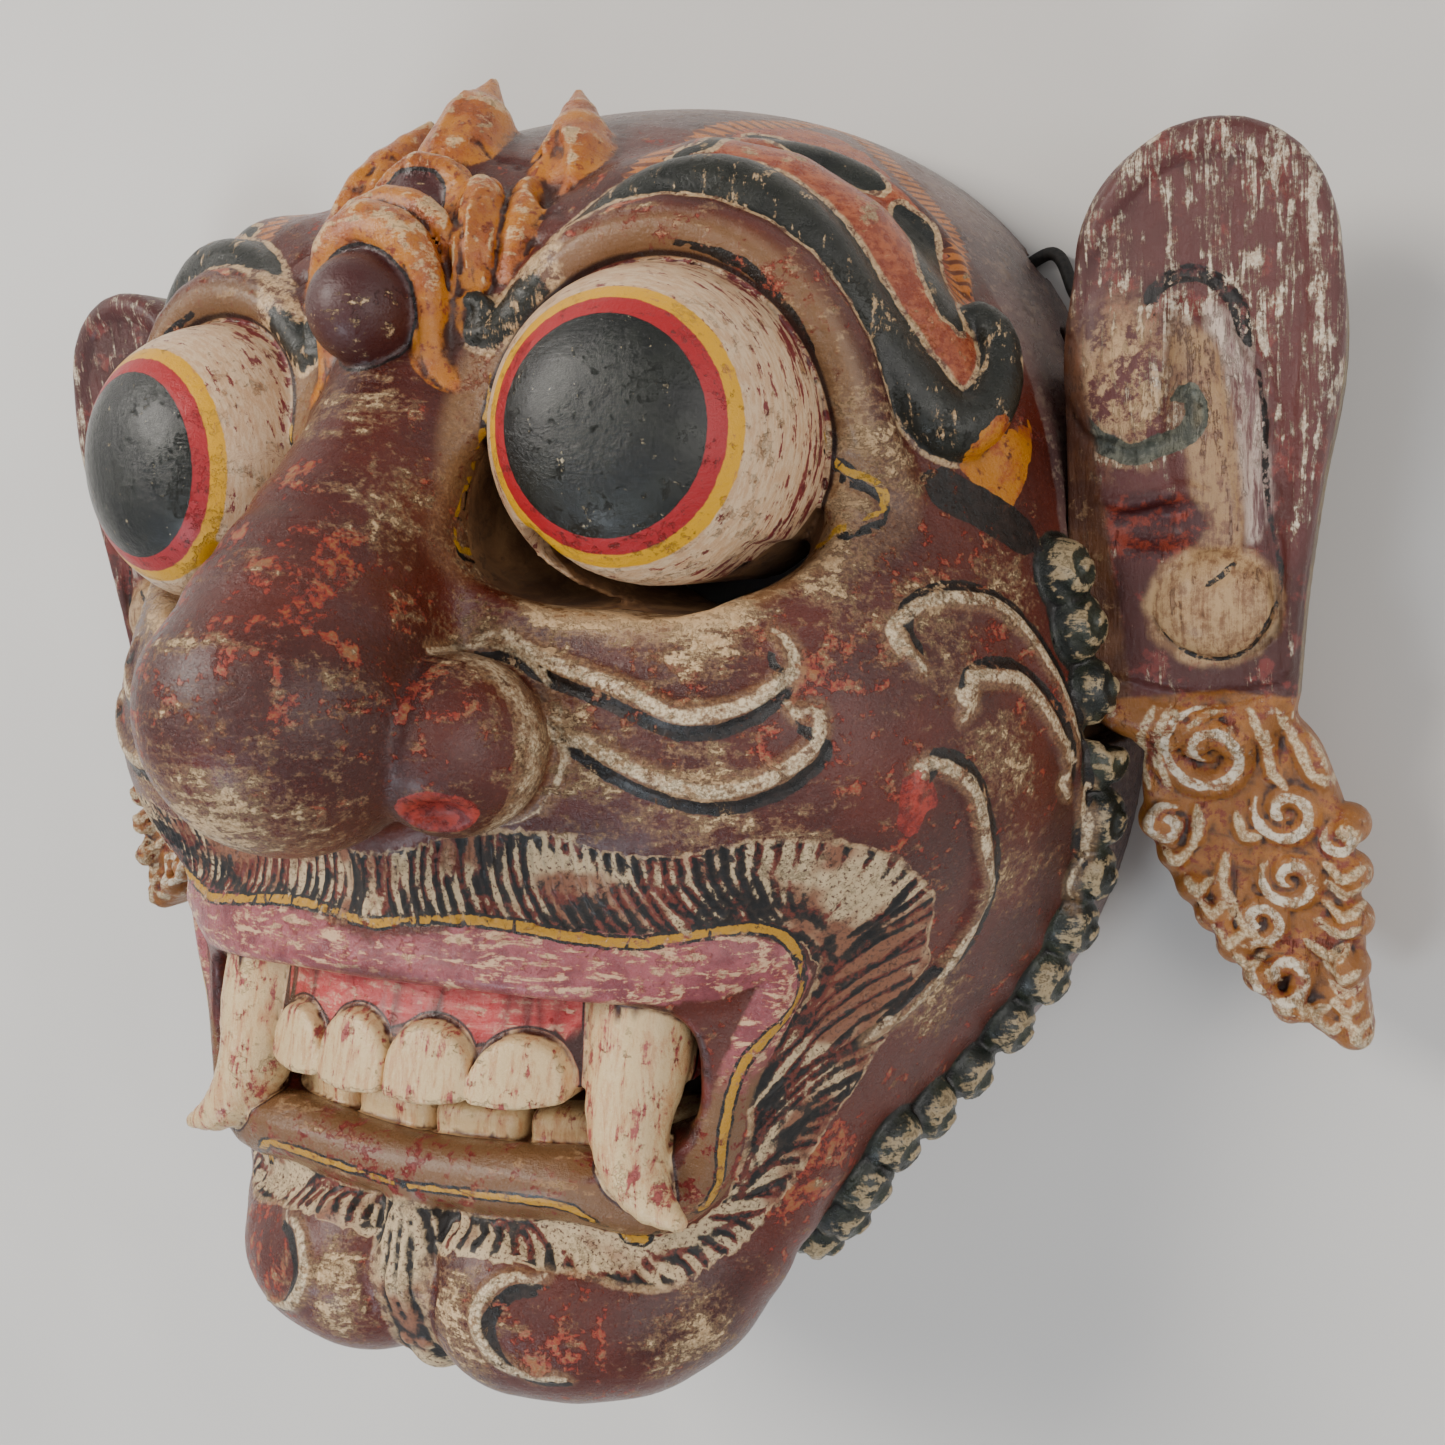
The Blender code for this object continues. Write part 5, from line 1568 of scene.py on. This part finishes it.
    # Beard: black valleys, pale and rusty ridges
    strand, tuft, _ = m.fields("lock_fields")
    lock = strand + (fleck - 0.5) * 1.7 + (patch - 0.5) * 1.0
    ridge_colour = m.coats(m.mix(m.ramp(m.noise(60, 3, 0.6, shift=7.0), 0.48, 0.6), "cdb48c",
                                 "8a5a40"),
                           (m.above(speck, 0.58, 0.06), "5f3f30"))
    slope_colour = m.mix(m.above(patch, 0.5, 0.04), "2a211a", "6e2f22")
    hair_colour = m.coats(m.mix(m.ramp(lock, 0.35, 0.7), "0d0b09", slope_colour),
                          (m.ramp(lock, 0.8, 1.15), ridge_colour))
    # on the tuft, the dark brown in the low places is painted shade
    tuft_hair = fine + (fleck - 0.5) * 0.8
    on_tuft = m.mix(m.ramp(tuft_hair, -0.15, 0.15), "1a130e", ridge_colour)
    hair_colour = m.coats(hair_colour, (m.below(tuft, 0.8, 0.3), on_tuft))
    m.coat(edge(band, 0.2, 0.3), hair_colour)
    band_lip = m.below(m.math("ABSOLUTE", band + jitter), 0.8, 0.3) * 0.6
    m.coat(band_lip, cream_rim)

    # Painted strokes
    dirt = m.mix(m.ramp(fleck, 0.4, 0.6), "12100d", "271c16")
    m.coat(edge(pale_lines, 1.6, 0.8) * 0.55, tan)
    kept = m.below(fleck * 0.6 + patch * 0.4, 0.575, 0.03)
    m.coat(edge(dark_lines, 0.25) * kept, dirt)
    bright = m.mix(m.ramp(speck, 0.38, 0.6), "a08260", "e3cda8")
    m.coat(edge(pale_lines, 0.15, 0.3) * m.below(fleck, 0.56, 0.05), bright)
    m.coat(edge(red_patch, 0.2) * 0.9, m.mix(m.ramp(fleck, 0.42, 0.58), "6e140f", "b23a2c"))

    # Mouth: a mauve upper lip, worn at its edge, and a dark red and tan lower one
    mauve = m.coats(m.mix(m.ramp(patch, 0.4, 0.6), "7c3b40", "a2585c"),
                    (m.above(streak * 0.6 + fleck * 0.4, 0.52, 0.03), "993f35"),
                    (m.above(streak * 0.7 + fleck * 0.3, 0.538, 0.03), "d3ab86"))
    low_lip = m.coats(m.mix(m.above(red_loss, 0.545, 0.02), "745234", "7e2019"),
                      (m.above(loss, 0.6, 0.03), "b08a62"))
    lips = m.mix(m.ramp(length + (patch - 0.5) * 0.02, -0.062, -0.052), low_lip, mauve)
    m.coat(edge(lip, 1.1, 0.25), lips)
    inner = m.mix(m.ramp(patch, 0.4, 0.6), "5f2019", "3c1713")
    m.coat(m.below(mouth, -1.0, 0.5) * m.above(lip, 0.8, 0.2), inner)
    gums = m.coats(m.mix(m.ramp(streak, 0.42, 0.56), "b8383a", "c9605a"),
                   (m.above(fleck * 0.5 + streak * 0.5, 0.555, 0.03), "d9a58a"))
    m.coat(edge(gum, 0.9, 0.25), gums)
    m.coat(edge(lip_gold, 0.75) * m.below(fleck, 0.56, 0.05), dirt)
    m.coat(edge(lip_gold, 0.1) * m.below(fleck, 0.58, 0.05), "b8861f")
    bone = m.coats(m.mix(m.ramp(streak_up, 0.44, 0.6), "e0c290", "cd9f70"),
                   (m.above(streak_up * 0.45 + patch * 0.3 + fleck * 0.25, 0.545, 0.02), "a5504a"),
                   # the dark red-brown where the teeth are hollow is painted shade
                   (m.ramp(fine, -0.12, -0.7), "6e3526"))
    m.coat(m.below(teeth, 1.5, 0.2) * m.above(teeth, 0.9, 0.2), "3a1a14")
    m.coat(m.below(teeth, 0.9, 0.15), bone)
    m.coat(m.below(cracks, 0.0, 0.15), "0d0a08")

    # Eyes
    round_eye = m.join(along * 0.6, angle * 3.4, rho * 0.15)
    lash = m.noise(1.0, 5, 0.7, where=round_eye)
    thin = m.noise(2.2, 4, 0.7, where=round_eye)
    white = m.mix(m.ramp(thin, 0.4, 0.6), "dfc09a", "cfa67e")
    near_lid = m.ramp(along, 29.0, 12.0)
    smear = lash * 0.72 + fleck * 0.28 + near_lid * 0.075
    white = m.coats(white, (m.above(smear, 0.585, 0.02), "7d3030"),
                    (m.above(fleck * 0.6 + patch * 0.4, 0.605, 0.02), "a9805a"))
    ring_gap = rho + jitter * 0.5
    white = m.coats(white,
                    (m.below(ring_gap, YELLOW_RING, 0.12),
                     m.mix(m.above(fleck * 0.5 + thin * 0.5, 0.58, 0.02), "e0a50c", "c98a3a")),
                    (m.below(ring_gap, RED_RING, 0.12),
                     m.mix(m.above(fleck * 0.5 + thin * 0.5, 0.58, 0.02), "ab1a20", "7a1a18")))
    pupil = m.mix(m.ramp(patch, 0.4, 0.62), "12140f", "22241d")
    nick = fleck * 0.3 + speck * 0.32 + streak_up * 0.38
    pupil = m.coats(pupil, (m.above(nick, 0.598, 0.01), "b8a684"))
    white = m.coats(white, (m.below(rho + jitter * 0.3, PUPIL_RADIUS, 0.12), pupil))
    on_eye = m.below(ball, 1.0, 0.25)
    m.coat(m.below(ball, 2.2, 0.4) * m.above(ball, 1.0, 0.2), "2a1511")
    m.coat(on_eye, white)
    m.coat(edge(socket_dark) * m.below(fleck, 0.6, 0.05), "14110d")
    m.coat(edge(socket_gold) * m.below(fleck, 0.6, 0.05), "bd8e1e")

    # Painted shade with grime: every hollow of the carving is darkened
    hollow_shade_and_grime = m.ramp(fine + (patch - 0.5) * 0.5, -0.14, -0.85) * 0.8
    m.coat(hollow_shade_and_grime, "170e0a")

    # Bare wood inside and under the rim
    grain = m.noise(210, 5, 0.65, stretch=(1.0, 0.12, 0.5), bend=0.6)
    wood = m.coats(m.mix(m.ramp(grain, 0.38, 0.62), "6e4a2c", "9a7148"),
                   (m.ramp(big, 0.45, 0.6) * 0.5, "4f3420"))
    bare = m.below(raw, 0.0, 0.3)
    m.coat(bare, wood)

    gloss = m.blend(m.above(loss, 0.6, 0.03), 0.3, 0.6) + (fleck - 0.5) * 0.45
    gloss = m.blend(m.below(band, 0.0, 0.4), gloss, 0.6)
    gloss = m.blend(m.above(red_loss, 0.565, 0.02), gloss, 0.46)
    eye_gloss = m.blend(m.below(rho, PUPIL_RADIUS, 0.2), 0.38, 0.18) + (fleck - 0.5) * 0.2
    gloss = m.blend(on_eye, gloss, eye_gloss)
    gloss = m.blend(bare, gloss, 0.75)
    height = (m.below(loss, CREAM_SHOWS, 0.02) * 0.3 + m.below(red_loss, 0.565, 0.02) * 0.25
              + fleck * 0.45 + patch * 0.5 + streak * 0.2 + grain * 0.15)
    return m.finish(gloss, height, CHIP_DEPTH, coat=0.10)


def ear_paint():
    """The ears: maroon rubbed through to cream in streaks, and gilded pendants."""
    m = Paint("ear_paint")
    black, stroke, channel = m.fields("ear_lines")
    bulb, pendant, root = m.fields("ear_patches")
    scrolls, edge_face, tan_left = m.fields("ear_more")
    arcs, hollow, crest = m.fields("ear_spots")
    fine, broad, height_up = m.fields("relief_fields")
    big = m.noise(30, 3, 0.55, shift=2.0)
    patch = m.noise(120, 6, 0.66, shift=4.1)
    fleck = m.noise(420, 6, 0.74, shift=6.7)
    speck = m.noise(1400, 4, 0.7, shift=2.3)
    streak = m.noise(520, 6, 0.76, stretch=(1.3, 0.13, 0.5), bend=0.5)
    jitter = (m.noise(300, 4, 0.65, shift=8.0) - 0.5) * 1.6

    def edge(field, at=0.0, soft=0.12):
        return m.below(field + jitter, at, soft)

    ridge = m.within(fine * 0.6, 0.0, 0.6)
    loss = (streak * 0.5 + fleck * 0.24 + patch * 0.26 + (big - 0.5) * 0.22 + ridge * 0.22
            + m.ramp(height_up, 20.0, 75.0) * 0.03)
    base = m.coats(m.mix(m.ramp(big, 0.38, 0.62), "451e19", "5b2b28"),
                   (m.above(patch * 0.7 + fleck * 0.3, 0.55, 0.03), "74302a"))
    cream = m.mix(m.ramp(speck, 0.35, 0.65), "a88c74", "ded0b8")
    tan = m.mix(m.ramp(fleck, 0.4, 0.6), "8f6b48", "c4a176")
    rubbed = m.above(loss, 0.575, 0.03)
    m.colour = m.mix(rubbed, base, cream)
    on_swell = m.below(tan_left + jitter * 2.0, 0.0, 4.0) * 0.85
    m.coat(on_swell * m.above(fleck * 0.5 + patch * 0.5, 0.48, 0.03), tan)
    pale = m.mix(m.ramp(streak, 0.4, 0.56), "6b4a48", "c9b3a4")
    m.coat(edge(crest, 0.5, 1.0) * 0.8, pale)
    sand = m.mix(m.ramp(streak * 0.5 + fleck * 0.5, 0.45, 0.57), "b08e66", "7d5a48")
    m.coat(edge(channel, -1.5, 1.2) * 0.85, sand)
    pit = m.mix(m.above(fleck * 0.5 + patch * 0.5, 0.52, 0.04), "43191a", "8a3522")
    m.coat(m.below(hollow + jitter * 2.0, 1.5, 1.0), pit)
    knob = m.mix(m.ramp(fleck * 0.5 + streak * 0.5, 0.44, 0.58), "bd9a6e", "86603f")
    m.coat(m.below(bulb + jitter * 2.0, 1.0, 1.2) * 0.9, knob)
    grey = m.mix(m.ramp(fleck, 0.42, 0.6), "3f4238", "6f6f60")
    m.coat(edge(stroke, -0.2), grey)
    wall = m.mix(m.above(fleck * 0.5 + patch * 0.5, 0.5, 0.05), "5f4a30", "85704c")
    m.coat(m.below(edge_face + jitter * 0.6, 0.0, 0.6), wall)
    brown = m.coats(m.mix(m.ramp(patch, 0.4, 0.6), "573220", "6f452a"),
                    (m.above(fleck, 0.6, 0.04), "94714f"))
    m.coat(m.below(root + jitter * 1.5, 0.0, 1.0), brown)

    gold = m.coats(m.mix(m.ramp(patch, 0.4, 0.6), "8a5520", "a5692c"),
                   (m.above(fleck * 0.6 + patch * 0.4, 0.53, 0.03), "7a3520"),
                   # the dark brown in the pendant's recesses is painted shade
                   (m.ramp(fine + (fleck - 0.5) * 0.5, -0.06, -0.32), "3a1d12"))
    sandy = m.mix(m.ramp(speck, 0.38, 0.62), "a5825a", "dcc6a0")
    high = fine * 0.75 + (fleck - 0.5) * 0.9 + (patch - 0.5) * 0.5
    gold = m.coats(gold, (m.ramp(high, 0.1, 0.26), sandy),
                   (edge(arcs, 0.0, 0.3) * m.below(fleck, 0.56, 0.05), sandy))
    white_scroll = m.mix(m.ramp(fleck, 0.42, 0.58), "e0d2ba", "9c7a52")
    gold = m.coats(gold, (edge(scrolls, -0.25, 0.2) * m.below(fleck, 0.57, 0.04), white_scroll))
    m.coat(edge(pendant, 0.0, 0.6), gold)
    m.coat(edge(black, -0.3) * m.below(fleck, 0.545, 0.04), "1b1714")
    # Painted shade with grime: every hollow of the ear is darkened
    hollow_shade_and_grime = m.ramp(fine + (patch - 0.5) * 0.5, -0.1, -0.7) * 0.75
    m.coat(hollow_shade_and_grime, "1a100b")

    gloss = m.blend(rubbed, 0.36, 0.6) + (fleck - 0.5) * 0.4
    height = m.below(loss, 0.575, 0.02) * 0.35 + fleck * 0.5 + streak * 0.5 + patch * 0.4
    return m.finish(gloss, height, CHIP_DEPTH, coat=0.08)


def thong_leather():
    m = Paint("thong_leather")
    strand = m.noise(900, 4, 0.6, stretch=(1, 1, 2))
    m.colour = m.mix(m.ramp(strand, 0.35, 0.65), "0c0b0a", "2a2622")
    return m.finish(strand * 0.3 + 0.55, strand, 0.0002)


# Floor, light and camera

def make_floor():
    bpy.ops.mesh.primitive_plane_add(size=6.0, location=(0, 0, -0.0002))
    floor = bpy.context.active_object
    floor.name = "floor"
    m = Paint("floor_paper")
    tone = m.noise(6, 3, 0.5)
    m.colour = m.mix(m.ramp(tone, 0.3, 0.7), "d6d3ce", "dedbd6")
    floor.data.materials.append(m.finish(0.9, tone, 0.0002))


def add_light(name, place, size, power, colour):
    """A soft square lamp aimed at the middle of the mask."""
    lamp = bpy.data.lights.new(name, "AREA")
    lamp.shape = "SQUARE"
    lamp.size = size
    lamp.energy = power
    lamp.color = colour
    made = bpy.data.objects.new(name, lamp)
    made.location = place
    aim = Vector((0.0, 0.0, 0.06)) - made.location
    made.rotation_euler = aim.to_track_quat("-Z", "Y").to_euler()
    bpy.context.scene.collection.objects.link(made)


def make_lights():
    add_light("key", (-0.75, 0.55, 1.05), 0.55, 17.0, (1.0, 0.95, 0.88))
    add_light("window", (-0.35, -0.75, 0.95), 0.30, 5.0, (0.80, 0.90, 1.0))
    add_light("fill", (0.95, 0.10, 0.80), 0.80, 7.0, (1.0, 0.96, 0.92))
    world = bpy.data.worlds.new("studio")
    world.use_nodes = True
    world.node_tree.nodes["Background"].inputs[0].default_value = (0.90, 0.93, 1.0, 1.0)
    world.node_tree.nodes["Background"].inputs[1].default_value = 0.40
    bpy.context.scene.world = world


def make_camera():
    right, up, back = camera_axes()
    lens = bpy.data.cameras.new("camera")
    lens.sensor_width = 36.0
    lens.lens = 36.0 * FOCAL / PICTURE
    lens.clip_start, lens.clip_end = 0.01, 20.0
    camera = bpy.data.objects.new("camera", lens)
    place = to_metres(EYE_POINT)
    turn = np.column_stack([right, up, back, place])
    camera.matrix_world = Matrix([list(row) for row in turn] + [[0, 0, 0, 1]])
    bpy.context.scene.collection.objects.link(camera)
    bpy.context.scene.camera = camera


def make_thong(node, name, surface):
    """A thong's loop as one smooth strand in the place of its solid."""
    side = 1 if node == "thong_left" else -1
    path = to_metres(thong_path(72)) * (side, 1, 1)
    loop = bpy.data.curves.new(name, "CURVE")
    loop.dimensions = "3D"
    loop.bevel_depth = 0.5 * THONG_DIAMETER
    loop.bevel_resolution = 5
    spline = loop.splines.new("POLY")
    spline.points.add(len(path) - 1)
    for point, place in zip(spline.points, path):
        point.co = (*place, 1.0)
    spline.use_cyclic_u = True
    loop.materials.append(surface)
    made = bpy.data.objects.new(name, loop)
    bpy.context.scene.collection.objects.link(made)
    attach(made, "root")
    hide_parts(node)


mask = make_mask()
mask.data.materials.append(mask_paint())
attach(mask, "root")
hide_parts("mask")

ear_surface = ear_paint()
for ear, node in zip(make_ears(), ("ear_left", "ear_right")):
    ear.data.materials.clear()
    ear.data.materials.append(ear_surface)
    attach(ear, "root")
    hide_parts(node)

leather = thong_leather()
make_thong("thong_left", "laced_thong_left", leather)
make_thong("thong_right", "laced_thong_right", leather)

make_floor()
make_lights()
make_camera()
